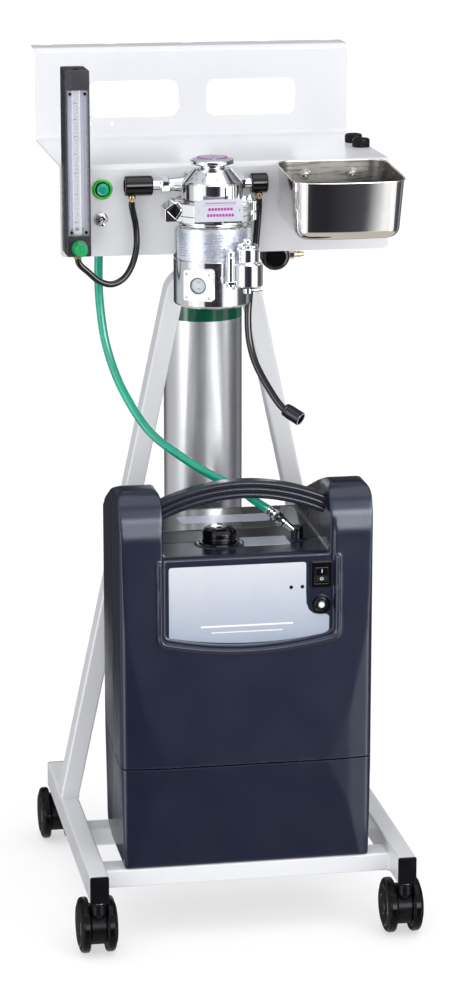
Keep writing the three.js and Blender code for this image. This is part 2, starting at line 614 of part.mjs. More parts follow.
function addSightGlass() {
  const [x, y] = aroundVaporizer(VAP_RADIUS + 1, -28);
  const turn = THREE.MathUtils.degToRad(-28);
  const plate = alongY(roundedOutline(-20, 20, -20, 20, 3), -8, 3, 1);
  const lens = rod('y', 0, -7.2, 0, 1.4, 11.6, 16);
  const recess = cut(rod('y', 0, -9, 0, 4.5, 13.4, 16), rod('y', 0, -7.2, 0, 4, 11.6, 16));
  const screws = [];
  for (const sx of [-1, 1]) {
    for (const sz of [-1, 1]) {
      screws.push(rod('y', sx * 15, -9, sz * 15, 2, 2.2, 6));
    }
  }
  const glass = placed(join(cut(plate, recess, ...screws), lens), x, y, 886, 0, 0, turn);
  const clearance = turned([[0, 850], [VAP_RADIUS + GAP, 850], [VAP_RADIUS + GAP, 925], [0, 925]],
    VAP_X, VAP_Y, 28);
  add('sight_glass', cut(glass, clearance), CHROME);
}

function addFiller() {
  const [x, y] = aroundVaporizer(70.5, 31);
  const turn = THREE.MathUtils.degToRad(31);
  const tank = turned([[0, 876], [6, 876], [6, 884.5], [17, 884.5], [19.4, 887], [19.4, 915], [18, 916.5],
    [14.2, 916.5], [14.2, 936], [0, 936]], x, y, 20);
  const web = placed(block(-13, 13, 0, 30, 886, 914), x, y, 0, 0, 0, turn);
  const pillar = rod('z', x - 23, y - 3, 886, 48, 6, 14);
  const clearance = turned([[0, 850], [VAP_RADIUS + GAP, 850], [VAP_RADIUS + GAP, 958], [0, 958]],
    VAP_X, VAP_Y, 28);
  const stemBore = rod('z', x, y, 926, 12, 3.6, 14);
  const drainBore = placed(rod('x', 2, 0, 880.2, 8, 1.9, 12), x, y, 0);
  add('filler_block', cut(join(tank, web, pillar), clearance, stemBore, drainBore), CHROME);

  const cap = turned([[0, 927.5], [3, 927.5], [3, 936.3], [13.2, 936.3], [13.2, 940], [8, 942],
    [5.5, 942], [5.5, 946],
    [3, 948], [0, 948]], x, y, 16);
  add('filler_cap', cap, CHROME);
  const drain = join(
    placed(rod('x', 2.6, 0, 880.2, 9, 1.5, 12), x, y, 0),
    placed(rod('x', 8, 0, 880.2, 12, 2.6, 12), x, y, 0),
  );
  add('drain_screw', drain, CHROME);
}

// A gas port on the vaporizer's back block: a taper, a hexagon and a spigot for the elbow.
function gasPort(side, hexagonX) {
  const taperLength = Math.abs(hexagonX - VAP_X) - 22;
  const along = (geometry) => geometry.translate(0, PORT_Y, PORT_Z);
  const start = VAP_X + side * 22;
  return [
    along(rod('x', Math.min(start, hexagonX), 0, 0, taperLength, 9, 12)),
    along(rod('x', Math.min(hexagonX, hexagonX + side * 10), 0, 0, 10, 11.5, 6)),
    along(rod('x', Math.min(hexagonX, hexagonX + side * 28), 0, 0, 28, 7.6, 12)),
  ];
}

// A black elbow that pushes on the port's spigot, with a brass barb below for the hose.
function addElbow(name, x0, x1, socketX, barbX) {
  const body = rod('x', x0, PORT_Y, PORT_Z, x1 - x0, 13.2, 20);
  const socket = rod('x', socketX[0], PORT_Y, PORT_Z, socketX[1] - socketX[0], 8.3, 12);
  const tail = rod('z', barbX, PORT_Y, PORT_Z - 26, 16, 2.9, 12);
  const flare = rod('z', barbX, PORT_Y, PORT_Z - 17.5, 6, 5.4, 12);
  add(name, cut(join(body, tail, flare), socket), DARK_RUBBER);
}

// ---------------------------------------------------------------- hoses
function addHoses() {
  const barbLow = PORT_Z - 27;
  const meterHose = [[-129, PORT_Y, barbLow], [-124, PORT_Y, 950], [-123.5, 165, 924], [-129.5, 163, 900],
    [-141.5, 160, 882], [-158, 157, 875], [-175, 154, 880], [-190, 152, 893], [-202, METER_TUBE_Y, 905],
    [METER_X, METER_TUBE_Y, METER_LOW - 5], [METER_X, METER_TUBE_Y, METER_LOW - 1.5]];
  add('flowmeter_hose', cord(meterHose, 4.25, 20), DARK_RUBBER);

  const cuffStart = new THREE.Vector3(68, 116, 706);
  const cuffDirection = new THREE.Vector3(0.7, -0.6, -0.42).normalize();
  const hoseTail = cuffStart.clone().addScaledVector(cuffDirection, 8);
  const hoseLead = cuffStart.clone().addScaledVector(cuffDirection, -5);
  const freshGas = [[41, PORT_Y, barbLow], [40.5, 168, 960], [35.5, 168, 904], [28, 165, 850],
    [25.5, 160, 818],
    [27, 155, 791], [33, 147, 765], [46, 135, 737], [...hoseLead], [...hoseTail]];
  add('fresh_gas_hose', cord(freshGas, 4.75, 18), DARK_RUBBER);

  const sleeve = cut(rod('y', 0, 0, 0, 27, 9.5, 20), rod('y', 0, 12, 0, 16, 7.6, 20), rod('y', 0, -1,
    0, 14, 5.3, 12));
  const aim = new THREE.Quaternion().setFromUnitVectors(new THREE.Vector3(0, 1, 0), cuffDirection);
  add('hose_end_connector', sleeve.applyQuaternion(aim).translate(...cuffStart), DARK_RUBBER);

  const supply = [[-168, 207, 940], [-168.8, 207, 902], [-169, 206, 858], [-163.5, 200, 799],
    [-154, 190, 759],
    [-139, 175, 721], [-110, 150, 675], [-72, 128, 645], [-34, 108, 622], [0, 99, 605], [24, 93, 587],
    [35.5, 90, 579.2], COUPLING_START];
  add('oxygen_hose', cord(supply, 5.75, 22), GREEN_HOSE);
}

function addOxygenOutlet() {
  const start = new THREE.Vector3(...COUPLING_START);
  const direction = new THREE.Vector3(0.765, 0, -0.644).normalize();
  const aim = new THREE.Quaternion().setFromUnitVectors(new THREE.Vector3(0, 1, 0), direction);
  const coupling = (growth) => join(
    rod('y', 0, 1.4 - growth, 0, 11, 6.4 + growth, 16),
    rod('y', 0, 12, 0, 14, 7.6 + growth, 6),
    rod('y', 0, 25, 0, 9, 6.2 + growth, 16),
    rod('y', 0, 33, 0, 15 + growth, 4.6 + growth, 14),
  ).applyQuaternion(aim).translate(...start);
  add('hose_coupling', coupling(0), CHROME);
  const outlet = turned([[0, DECK_Z + 3.7], [10, DECK_Z + 3.7], [10, DECK_Z + 5.5], [8.5, DECK_Z + 5.5],
    [8.5, OUTLET_TOP - 2], [7, OUTLET_TOP], [0, OUTLET_TOP]], OUTLET_X, OUTLET_Y, 20);
  const spigot = rod('z', OUTLET_X, OUTLET_Y, 515, 20, 4.5, 16);
  add('oxygen_outlet', cut(join(outlet, spigot), coupling(GAP)), BLACK_PLASTIC);
}

// ---------------------------------------------------------------- oxygen cylinder, valve, yoke and regulator
function addCylinder() {
  const wall = 6.5;
  const mouth = 9;
  const bore = CYLINDER_RADIUS - wall;
  const outside = [[0, CYLINDER_LOW + 6], [30, CYLINDER_LOW], [45, CYLINDER_LOW],
    [CYLINDER_RADIUS, CYLINDER_LOW + 12], [CYLINDER_RADIUS, CYLINDER_SHOULDER],
      [53, CYLINDER_SHOULDER + 17],
    [45, CYLINDER_SHOULDER + 32], [32, CYLINDER_SHOULDER + 43], [20, CYLINDER_SHOULDER + 48],
      [17, CYLINDER_NECK]];
  const inside = [[mouth, CYLINDER_NECK], [mouth, CYLINDER_SHOULDER + 42], [26, CYLINDER_SHOULDER + 35],
    [bore - 8, CYLINDER_SHOULDER + 22], [bore, CYLINDER_SHOULDER], [bore, CYLINDER_LOW + 18],
    [bore - 10, CYLINDER_LOW + 11], [0, CYLINDER_LOW + 13]];
  add('oxygen_cylinder', turned([...outside, ...inside], CYLINDER_X, CYLINDER_Y, 24), ALUMINIUM);

  const [x, y] = [CYLINDER_X, CYLINDER_Y];
  const valve = join(
    rod('z', x, y, CYLINDER_NECK + GAP, 8, 14, 20),
    block(x - 12, x + 12, y - 13, y + 13, CYLINDER_NECK + 6, 930),
    rod('z', x, y, 929, 10, 5, 8),
  );
  const dimple = rod('y', x, y + 9, YOKE_Z, 6, 4.2, 14);
  add('cylinder_valve', cut(valve, dimple), BRASS);
}

function addYoke() {
  const [x, y] = [CYLINDER_X, CYLINDER_Y];
  const yokeOutline = roundedOutline(x - 24, x + 24, y - 34, y + 34, 10);
  const opening = block(x - 13, x + 13, y - 14, y + 22, 870, 960);
  const ring = alongZ(yokeOutline, YOKE_Z - 16, YOKE_Z + 16, 1);
  const screwBore = rod('y', x, y + 21, YOKE_Z, 14, 4.4, 12);
  const regulatorFront = FRAME_Y + TUBE_WIDE / 2 + 9;
  const regulator = rod('y', x, regulatorFront, YOKE_Z, y - 33 - regulatorFront, 20, 24);
  const arm = block(x + 12, 104, 340, 356, 896, 912);
  const arch = block(x - 10, x + 10, y - 34, y - 22, 914, 1000);
  const foot = block(x - 24, x + 24, y - 46, y - 10, 1000, 1023.2);
  const manifold = block(78, 118, 340, 356, GAUGE_Z - 14, YOKE_Z);
  const outlet = rod('x', 117, 348, GAUGE_Z - 7, 8, 6.5, 6);
  const tail = rod('x', 124, 348, GAUGE_Z - 7, 15, 3.4, 12);
  const solid = join(ring, regulator, arm, manifold, arch, foot, outlet, tail);
  add('regulator_yoke', cut(solid, opening, screwBore), BRASS);
  const handle = join(
    rod('y', x, y + 14.6, YOKE_Z, 38, 3.6, 14),
    block(x - 20, x + 20, y + 46, y + 53, YOKE_Z - 5, YOKE_Z + 5),
  );
  add('yoke_screw', handle, STEEL);

  const gauge = join(
    turned([[0, -14], [15, -14], [19.5, -9], [19.5, 9], [0, 9]], 0, 0, 28).rotateX(-Math.PI / 2),
    rod('y', 0, 8, 0, 30, 5, 12),
  );
  add('regulator_gauge', gauge.translate(89, 301.6, GAUGE_Z), BLACK_PLASTIC);
}

// ---------------------------------------------------------------- oxygen concentrator
// The whole case is the common part of a side view, a front view and a plan view.
function caseSolid(inset) {
  const side = polygon([
    [CASE_FRONT + 4 + inset, CASE_LOW + inset],
    [223 - inset, CASE_LOW + inset],
    [256 - inset, CASE_SEAM],
    [CASE_BACK - inset, 330],
    [CASE_BACK - inset, 548 - inset],
    [215, 572 - inset],
    [120, 606 - inset],
    [70, CASE_TOP - inset],
    ...CASE_CROWN.map(([y, drop]) => [y + inset, CASE_TOP - drop - inset]),
    [CASE_FRONT + inset, CASE_SEAM],
  ]);
  const corner = SHOULDER_CORNER - inset / 2;
  const width = CASE_HALF - inset;
  const front = new THREE.Shape();
  front.moveTo(-width + 3, CASE_LOW);
  front.lineTo(width - 3, CASE_LOW);
  front.lineTo(width, CASE_SEAM);
  front.lineTo(width, CASE_TOP - inset - corner);
  front.absarc(width - corner, CASE_TOP - inset - corner, corner, 0, Math.PI / 2);
  front.lineTo(-width + corner, CASE_TOP - inset);
  front.absarc(-width + corner, CASE_TOP - inset - corner, corner, Math.PI / 2, Math.PI);
  front.lineTo(-width, CASE_SEAM);
  const plan = roundedOutline(-width, width, CASE_FRONT + inset, CASE_BACK - inset, 12 - inset / 2);
  const rear = width - CASE_REAR_TAPER;
  const taper = polygon([[-width, 0], [width, 0], [width, CASE_SHELL_SPLIT], [rear, CASE_BACK],
    [-rear, CASE_BACK],
    [-width, CASE_SHELL_SPLIT]]);
  return overlap(
    alongX(side, -CASE_HALF - 5, CASE_HALF + 5),
    alongY(front, 0, 300, 2),
    alongZ(plan, 90, 640, 2),
    alongZ(taper, 90, 640, 1),
  );
}

// Everything between the shoulders and above the deck, which rises gently to the rear.
function deckRoom(drop) {
  const rise = polygon([[0, DECK_Z - 1 - drop], [27, DECK_Z - 1 - drop], [32, DECK_Z + 1.5 - drop],
    [300, DECK_Z + 8 - drop], [300, 700], [0, 700]]);
  const reach = DECK_HALF + drop;
  const flare = reach + SHOULDER_CORNER;
  const opening = new THREE.Shape();
  opening.moveTo(-reach, DECK_Z - 60);
  opening.lineTo(reach, DECK_Z - 60);
  opening.absarc(flare, CASE_TOP - SHOULDER_CORNER, SHOULDER_CORNER, Math.PI, Math.PI / 2, true);
  opening.lineTo(flare, 700);
  opening.lineTo(-flare, 700);
  opening.absarc(-flare, CASE_TOP - SHOULDER_CORNER, SHOULDER_CORNER, Math.PI / 2, 0, true);
  return overlap(alongX(rise, -flare, flare), alongY(opening, -5, 305, 5));
}

// The shallow bay in the front face that frames the control label, with a bowed lower edge.
function labelBay(margin, y0, y1) {
  const bay = new THREE.Shape();
  const [left, right, corner] = [-113 - margin, 118 + margin, 10];
  const low = 420 - margin;
  bay.moveTo(left, DECK_Z + 60);
  bay.lineTo(left, low + corner);
  bay.quadraticCurveTo(left, low - 1, left + corner, low - 2);
  bay.quadraticCurveTo((left + right) / 2, low - 26, right - corner, low - 2);
  bay.quadraticCurveTo(right, low - 1, right, low + corner);
  bay.lineTo(right, DECK_Z + 60);
  return alongY(bay, y0, y1, 6);
}

function addCase() {
  const hollow = caseSolid(CASE_WALL);
  const outside = cut(caseSolid(0), deckRoom(0), labelBay(0, 0, 25.5));
  const inside = cut(hollow, deckRoom(CASE_WALL), labelBay(CASE_WALL, 0, 25.5 + CASE_WALL));
  const shell = cut(outside, inside);
  const seam = CASE_SEAM;
  const baseRoom = block(-300, 300, -100, 500, 0, seam - GAP / 2);
  const frontRoom = block(-300, 300, -100, CASE_SHELL_SPLIT - GAP / 2, seam + GAP / 2, 700);
  const rearRoom = block(-300, 300, CASE_SHELL_SPLIT + GAP / 2, 500, seam + GAP / 2, 700);

  const vents = [];
  for (let row = 0; row < 6; row++) {
    const z = 300 + row * 22;
    vents.push(block(-90, 90, CASE_BACK - 10, CASE_BACK + 5, z, z + 8));
  }
  const filterBore = rod('z', FILTER_X, FILTER_Y, 505, 60, 20, 24);
  const outletBore = rod('z', OUTLET_X, OUTLET_Y, 505, 40, 5, 16);
  const switchHole = block(88, 112, 10, 60, 486, 516);
  const resetHole = rod('y', SWITCH_X, 10, RESET_Z, 40, RESET_BORE, 16);
  const resetCollar = rod('y', SWITCH_X, 20, RESET_Z, 6, 12.5, 28);

  add('concentrator_base', overlap(shell, baseRoom), NAVY_PLASTIC);
  const frontShell = join(overlap(shell, frontRoom), resetCollar);
  add('concentrator_front', cut(frontShell, filterBore, outletBore, switchHole, resetHole), NAVY_PLASTIC);
  add('concentrator_rear', cut(overlap(shell, rearRoom), filterBore, outletBore, ...vents), NAVY_PLASTIC);
}

function addHandle() {
  const [reach, rise] = [DECK_HALF - 0.5, 25];
  const outline = new THREE.Shape();
  outline.moveTo(-reach, 577);
  outline.quadraticCurveTo(0, 577 + 2 * rise + 2, reach, 577);
  outline.lineTo(reach, 601);
  outline.quadraticCurveTo(0, 601 + 2 * rise, -reach, 601);
  add('concentrator_handle', alongY(outline, HANDLE_Y - 11, HANDLE_Y + 11, 10), DARK_RUBBER);
}

function addControls() {
  const labelY = 25.2;
  const bezelRim = alongY(roundedOutline(85.5, 114.5, 483, 519, 3), labelY - 3, labelY, 1);
  const bezelBody = block(88.4, 111.6, labelY - 1, 45, 486.4, 515.6);
  const rockerRoom = block(91, 109, 18, 38, 489, 513);
  add('switch_bezel', cut(join(bezelRim, bezelBody), rockerRoom), BLACK_PLASTIC);
  const rocker = polygon([[0, -11.2], [-3.4, -11], [-5.2, 0], [-3.4, 11], [0, 11.2], [7, 7], [7, -7]]);
  add('rocker_switch', placed(alongX(rocker, -8.6, 8.6), SWITCH_X, 25.6, SWITCH_Z, ROCKER_TILT),
    BLACK_PLASTIC);

  add('reset_button', rod('y', SWITCH_X, labelY - 6, RESET_Z, 14, RESET_BORE - 0.5, 16), WHITE_PLASTIC);
}

function addFilterCap() {
  const cap = turned([[0, 522], [17.5, 522], [17.5, DECK_Z + 4.4], [FILTER_RADIUS, DECK_Z + 4.4],
    [FILTER_RADIUS, FILTER_TOP - 9], [20.6, FILTER_TOP - 3.4], [17, FILTER_TOP], [0, FILTER_TOP]],
  FILTER_X, FILTER_Y, 20);
  add('filter_cap', cap, BLACK_PLASTIC);
}

function addInternals() {
  const floor = CASE_LOW + CASE_WALL + 1;
  const compressor = join(
    block(-110, 30, 70, 190, floor, floor + 14),
    rod('z', -40, 130, floor + 12, 110, 48, 24),
    block(-100, 20, 105, 155, floor + 90, floor + 128),
  );
  add('compressor', compressor, ALUMINIUM);
  const beds = [70, 125].map((x) =>
    turned([[0, floor], [24, floor], [25, floor + 3], [25, 480], [20, 488], [0, 488]], x, 165, 20));
  add('sieve_beds', join(...beds, block(60, 135, 152, 178, 470, 496)), ZEOLITE_CAN);
}

// ---------------------------------------------------------------- the machine
addFloorFrame();
for (const [sideName, side] of [['left', -1], ['right', 1]]) {
  addEndCap(`front_${sideName}_end_cap`, side, -1);
  addEndCap(`rear_${sideName}_end_cap`, side, 1);
  addCaster(`front_${sideName}`, side * RAIL_X, FRONT_AXLE_Y);
  addCaster(`rear_${sideName}`, side * RAIL_X, REAR_AXLE_Y);
}
addFrame();
addShelfSupport();
addPanel();
addPortPlug('front_port_plug', 301);
addPortPlug('rear_port_plug', 350);
addBasin();
addBasinBolt('left_basin_bolt', BASIN_BOLT_X[0]);
addBasinBolt('right_basin_bolt', BASIN_BOLT_X[1]);
addFlowmeter();
addFlush();
addSelector();
addVaporizer();
addSightGlass();
addFiller();
addElbow('inlet_elbow', -138.7, -101.8, [-131, -90], -129);
addElbow('outlet_elbow', 30, 52.2, [20, 44], 41);
addHoses();
addOxygenOutlet();
addCylinder();
addYoke();
addCase();
addHandle();
addControls();
addFilterCap();
addInternals();

// The origin is the floor point under the middle of the whole object.
machine.position.y = -(PANEL_FLANGE_Y - WHEEL_RADIUS) / 2;

export default machine;
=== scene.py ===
"""The looks of a veterinary anesthesia machine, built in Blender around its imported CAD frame.

Lengths are in millimetres. Y is counted from the axle of the front casters, +Z is up and -Y is the front.
piece() turns a finished shape into the frame's metres.
"""

import math
import random

import bmesh
import bpy
from mathutils import Matrix, Vector


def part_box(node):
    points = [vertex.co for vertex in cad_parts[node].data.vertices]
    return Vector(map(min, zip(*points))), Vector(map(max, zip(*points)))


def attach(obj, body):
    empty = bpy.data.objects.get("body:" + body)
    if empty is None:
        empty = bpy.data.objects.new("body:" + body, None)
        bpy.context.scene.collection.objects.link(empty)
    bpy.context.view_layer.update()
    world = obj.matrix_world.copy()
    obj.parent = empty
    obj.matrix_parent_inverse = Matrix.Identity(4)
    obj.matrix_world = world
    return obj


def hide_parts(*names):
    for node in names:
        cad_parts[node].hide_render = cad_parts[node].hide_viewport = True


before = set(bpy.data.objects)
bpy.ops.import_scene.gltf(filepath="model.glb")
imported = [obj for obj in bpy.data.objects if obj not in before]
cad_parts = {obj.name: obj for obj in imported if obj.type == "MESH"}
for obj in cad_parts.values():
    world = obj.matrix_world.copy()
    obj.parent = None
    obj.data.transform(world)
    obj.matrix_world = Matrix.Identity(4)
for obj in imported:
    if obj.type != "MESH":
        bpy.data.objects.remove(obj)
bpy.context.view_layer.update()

AXLE_Y = sum(corner.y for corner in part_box("front_left_caster_wheels")) / 2
TO_FRAME = Matrix.Translation((0, AXLE_Y, 0)) @ Matrix.Scale(0.001, 4)
DIRECTIONS = {"x": Vector((1, 0, 0)), "y": Vector((0, 1, 0)), "z": Vector((0, 0, 1))}
random.seed(7)


class Box:
    """The box of a CAD node, in millimetres."""

    def __init__(self, node):
        low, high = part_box(node)
        self.lo = TO_FRAME.inverted() @ low
        self.hi = TO_FRAME.inverted() @ high
        self.mid = (self.lo + self.hi) / 2


# ---------------------------------------------------------------- outlines: lists of (x, y)
def arc(x, y, radius, start, end, steps=8):
    angles = [math.radians(start + (end - start) * i / steps) for i in range(steps + 1)]
    return [(x + radius * math.cos(a), y + radius * math.sin(a)) for a in angles]


def circle(x, y, radius, steps=40):
    return arc(x, y, radius, 0, 360, steps)[:-1]


def rounded_rectangle(x0, x1, y0, y1, radius, steps=6):
    corners = [(x1 - radius, y0 + radius, -90), (x1 - radius, y1 - radius, 0),
               (x0 + radius, y1 - radius, 90), (x0 + radius, y0 + radius, 180)]
    return [p for x, y, start in corners for p in arc(x, y, radius, start, start + 90, steps)]


def soften(points, radius, closed=False, steps=3):
    """The same outline with each corner rounded off by one radius, or by a list with one for each corner.

    An open outline keeps its ends.
    """
    points = [Vector(p) for p in points]
    count = len(points)
    radii = radius if isinstance(radius, list) else [radius] * count
    result = []
    for i, corner in enumerate(points):
        if not closed and i in (0, count - 1):
            result.append(corner)
            continue
        before, after = points[i - 1] - corner, points[(i + 1) % count] - corner
        room = min(before.length, after.length)
        if room < 1e-6:
            continue
        turn = math.pi - before.angle(after)
        setback = min(radii[i] * math.tan(turn / 2), 0.48 * room)
        if turn < math.radians(4):
            result.append(corner)
            continue
        start = corner + before.normalized() * setback
        end = corner + after.normalized() * setback
        for k in range(steps + 1):
            t = k / steps
            result.append(start * (1 - t) ** 2 + corner * 2 * t * (1 - t) + end * t ** 2)
    return result


def smooth_path(points, steps=8):
    """Points along a centripetal Catmull-Rom curve through the given points."""
    points = [Vector(p) for p in points]
    points = [points[0] * 2 - points[1]] + points + [points[-1] * 2 - points[-2]]
    path = []
    for p0, p1, p2, p3 in zip(points, points[1:], points[2:], points[3:]):
        t1 = (p1 - p0).length ** 0.5
        t2 = t1 + (p2 - p1).length ** 0.5
        t3 = t2 + (p3 - p2).length ** 0.5
        for k in range(steps):
            t = t1 + (t2 - t1) * k / steps
            a1 = p0 * ((t1 - t) / t1) + p1 * (t / t1)
            a2 = p1 * ((t2 - t) / (t2 - t1)) + p2 * ((t - t1) / (t2 - t1))
            a3 = p2 * ((t3 - t) / (t3 - t2)) + p3 * ((t - t2) / (t3 - t2))
            b1 = a1 * ((t2 - t) / t2) + a2 * (t / t2)
            b2 = a2 * ((t3 - t) / (t3 - t1)) + a3 * ((t - t1) / (t3 - t1))
            path.append(b1 * ((t2 - t) / (t2 - t1)) + b2 * ((t - t1) / (t2 - t1)))
    return path + [points[-2]]


# ---------------------------------------------------------------- solids: closed bmeshes
def holder(bm):
    """A linked object with the shape as its mesh, for modifiers to work on."""
    mesh = bpy.data.meshes.new("holder")
    bm.to_mesh(mesh)
    obj = bpy.data.objects.new("holder", mesh)
    bpy.context.scene.collection.objects.link(obj)
    return obj


def evaluated(obj):
    """The bmesh of an object with its modifiers applied."""
    graph = bpy.context.evaluated_depsgraph_get()
    mesh = bpy.data.meshes.new_from_object(obj.evaluated_get(graph))
    bm = bmesh.new()
    bm.from_mesh(mesh)
    bpy.data.meshes.remove(mesh)
    return bm


def modified(bm, *modifiers):
    """The shape after modifiers, given as (type, {setting: value}); the shape itself is used up."""
    obj = holder(bm)
    bm.free()
    for kind, settings in modifiers:
        modifier = obj.modifiers.new("modified", kind)
        for key, value in settings.items():
            setattr(modifier, key, value)
    result = evaluated(obj)
    bpy.data.objects.remove(obj)
    return result


def cut_plane(bm, point, normal, clear=False):
    """Cuts the shape's faces along a plane, and drops the side behind the plane if clear is true."""
    geometry = bm.verts[:] + bm.edges[:] + bm.faces[:]
    bmesh.ops.bisect_plane(bm, geom=geometry, plane_co=point, plane_no=normal, clear_inner=clear)
    return bm


def along(axis):
    """The rotation that turns +Z onto an axis, given as a letter or a direction."""
    direction = DIRECTIONS.get(axis) if isinstance(axis, str) else Vector(axis)
    return Vector((0, 0, 1)).rotation_difference(direction).to_matrix().to_4x4()


def skin(bm, rings, closed=False):
    """Joins rings of vertices into a surface; a ring may be a single point. Open ends get a cap."""
    pairs = list(zip(rings, rings[1:]))
    if closed:
        pairs.append((rings[-1], rings[0]))
    for low, high in pairs:
        count = max(len(low), len(high))
        for i in range(count):
            j = (i + 1) % count
            quad = [low[i % len(low)], low[j % len(low)], high[j % len(high)], high[i % len(high)]]
            corners = list(dict.fromkeys(quad))
            if len(corners) > 2:
                bm.faces.new(corners)
    for end in [] if closed else [rings[0], rings[-1]]:
        if len(end) > 2:
            bm.faces.new(end)
    bmesh.ops.recalc_face_normals(bm, faces=bm.faces[:])
    return bm


def turned(profile, centre=(0, 0, 0), axis="z", steps=72, soft=0.6, closed=False, flutes=None):
    """A turned solid from (radius, height) pairs; flutes are (count, depth, least radius)."""
    bm = bmesh.new()
    rings = []
    for radius, height in soften(profile, soft, closed):
        ring = []
        for i in range(steps if radius > 1e-6 else 1):
            angle = 2 * math.pi * i / steps
            reach = radius
            if flutes and radius >= flutes[2]:
                reach -= flutes[1] * (0.5 - 0.5 * math.cos(flutes[0] * angle)) ** 0.6
            ring.append(bm.verts.new((reach * math.cos(angle), reach * math.sin(angle), height)))
        rings.append(ring)
    skin(bm, rings, closed)
    bm.transform(Matrix.Translation(centre) @ along(axis))
    return bm


def rod(centre, axis, length, radius, end_radius=None, soft=0.4, steps=48):
    """A round bar from its centre point along an axis."""
    end_radius = radius if end_radius is None else end_radius
    return turned([(0, 0), (radius, 0), (end_radius, length), (0, length)], centre, axis, steps, soft)


def slab(outlines, start, end, axis="y", edge=0.4, edge_steps=2):
    """A flat shape with bevelled edges: the first outline is its outside and the others are holes.

    It is drawn in XZ and runs along Y, drawn in YZ and runs along X, or drawn in XY and runs along Z.
    """
    curve = bpy.data.curves.new("slab", "CURVE")
    curve.dimensions = "2D"
    curve.fill_mode = "BOTH"
    for i, outline in enumerate(outlines):
        area = sum(a[0] * b[1] - b[0] * a[1] for a, b in zip(outline, outline[1:] + outline[:1]))
        if (area > 0) == (i > 0):
            outline = outline[::-1]
        spline = curve.splines.new("POLY")
        spline.points.add(len(outline) - 1)
        for point, (u, v) in zip(spline.points, outline):
            point.co = (u, v, 0, 1)
        spline.use_cyclic_u = True
    curve.extrude = abs(end - start) / 2 - edge
    curve.bevel_depth = edge
    curve.bevel_resolution = edge_steps
    curve.offset = -edge
    holder = bpy.data.objects.new("slab", curve)
    mesh = bpy.data.meshes.new_from_object(holder)
    bm = bmesh.new()
    bm.from_mesh(mesh)
    bpy.data.objects.remove(holder)
    bpy.data.curves.remove(curve)
    bpy.data.meshes.remove(mesh)
    bmesh.ops.remove_doubles(bm, verts=bm.verts[:], dist=0.001)
    middle = (start + end) / 2
    for vert in bm.verts:
        u, v, w = vert.co
        w += middle
        vert.co = {"x": (w, u, v), "y": (u, w, v), "z": (u, v, w)}[axis]
    bmesh.ops.recalc_face_normals(bm, faces=bm.faces[:])
    return bm


def block(low, high, edge=0.8, steps=3):
    bm = bmesh.new()
    bmesh.ops.create_cube(bm, size=1)
    low, high = Vector(low), Vector(high)
    for vert in bm.verts:
        vert.co = [low[i] + (vert.co[i] + 0.5) * (high[i] - low[i]) for i in range(3)]
    if edge:
        bmesh.ops.bevel(bm, geom=bm.edges[:], offset=edge, segments=steps, profile=0.5, affect="EDGES")
    return bm


def sweep(path, section, up=None, closed=False, scales=None):
    """A flat section of (side, up) points carried along a path of points without twisting."""
    path = [Vector(p) for p in path]
    count = len(path)
    bm = bmesh.new()
    rings = []
    tangents = []
    for i in range(count):
        before = path[(i - 1) % count] if closed or i > 0 else path[i]
        after = path[(i + 1) % count] if closed or i < count - 1 else path[i]
        tangents.append((after - before).normalized())
    if up is None:
        up = Vector((0, 0, 1)) if abs(tangents[0].z) < 0.9 else Vector((1, 0, 0))
    up = Vector(up)
    for i, tangent in enumerate(tangents):
        up = (up - tangent * up.dot(tangent)).normalized()
        side = tangent.cross(up)
        scale = scales[i] if scales else 1
        rings.append([bm.verts.new(path[i] + (side * u + up * v) * scale) for u, v in section])
    return skin(bm, rings, closed)


def hose(points, radius, steps=8, sides=20):
    return sweep(smooth_path(points, steps), circle(0, 0, radius, sides))


def bead(points, radius=1.5, spacing=1.6):
    """A weld bead round a closed loop of straight runs, uneven as a hand-laid one is."""
    path = []
    for a, b in zip(points, points[1:] + points[:1]):
        a, b = Vector(a), Vector(b)
        steps = max(2, int((b - a).length / spacing))
        path += [a.lerp(b, k / steps) for k in range(steps)]
    scales = [random.uniform(0.85, 1.15) for _ in path]
    middle = sum((Vector(p) for p in points), Vector()) / len(points)
    normal = (Vector(points[0]) - middle).cross(Vector(points[1]) - middle)
    return sweep(path, circle(0, 0, radius, 8), up=normal, closed=True, scales=scales)


def carve(solid, tools, mode="DIFFERENCE"):
    """The solid with tools cut from it, joined to it, or kept in common with it."""
    objects = [holder(bm) for bm in [solid, *tools]]
    for tool in objects[1:]:
        modifier = objects[0].modifiers.new("carve", "BOOLEAN")
        modifier.operation = mode
        modifier.solver = "EXACT"
        modifier.object = tool
    result = evaluated(objects[0])
    for obj in objects:
        bpy.data.objects.remove(obj)
    return result


def ease(bm, width, angle=40, steps=2):
    """Rounds the edges that are sharper than an angle."""
    limit = math.radians(angle)
    edges = [e for e in bm.edges if len(e.link_faces) == 2 and e.calc_face_angle() > limit]
    bmesh.ops.bevel(bm, geom=edges, offset=width, segments=steps, profile=0.5, affect="EDGES",
                    clamp_overlap=True)
    return bm


def moved(bm, shift=(0, 0, 0), turn=0, axis="z", about=(0, 0, 0)):
    """The shape turned by degrees about an axis through a point, then shifted."""
    pivot = Matrix.Translation(about)
    rotation = Matrix.Rotation(math.radians(turn), 4, DIRECTIONS[axis] if isinstance(axis, str) else axis)
    bm.transform(Matrix.Translation(shift) @ pivot @ rotation @ pivot.inverted())
    return bm


def sliced(bm, spacing):
    """Cuts across the shape along X, so that it can be rolled round an axis."""
    low = min(vert.co.x for vert in bm.verts)
    high = max(vert.co.x for vert in bm.verts)
    for i in range(1, int((high - low) / spacing) + 1):
        cut_plane(bm, (low + i * spacing, 0, 0), (1, 0, 0))
    return bm


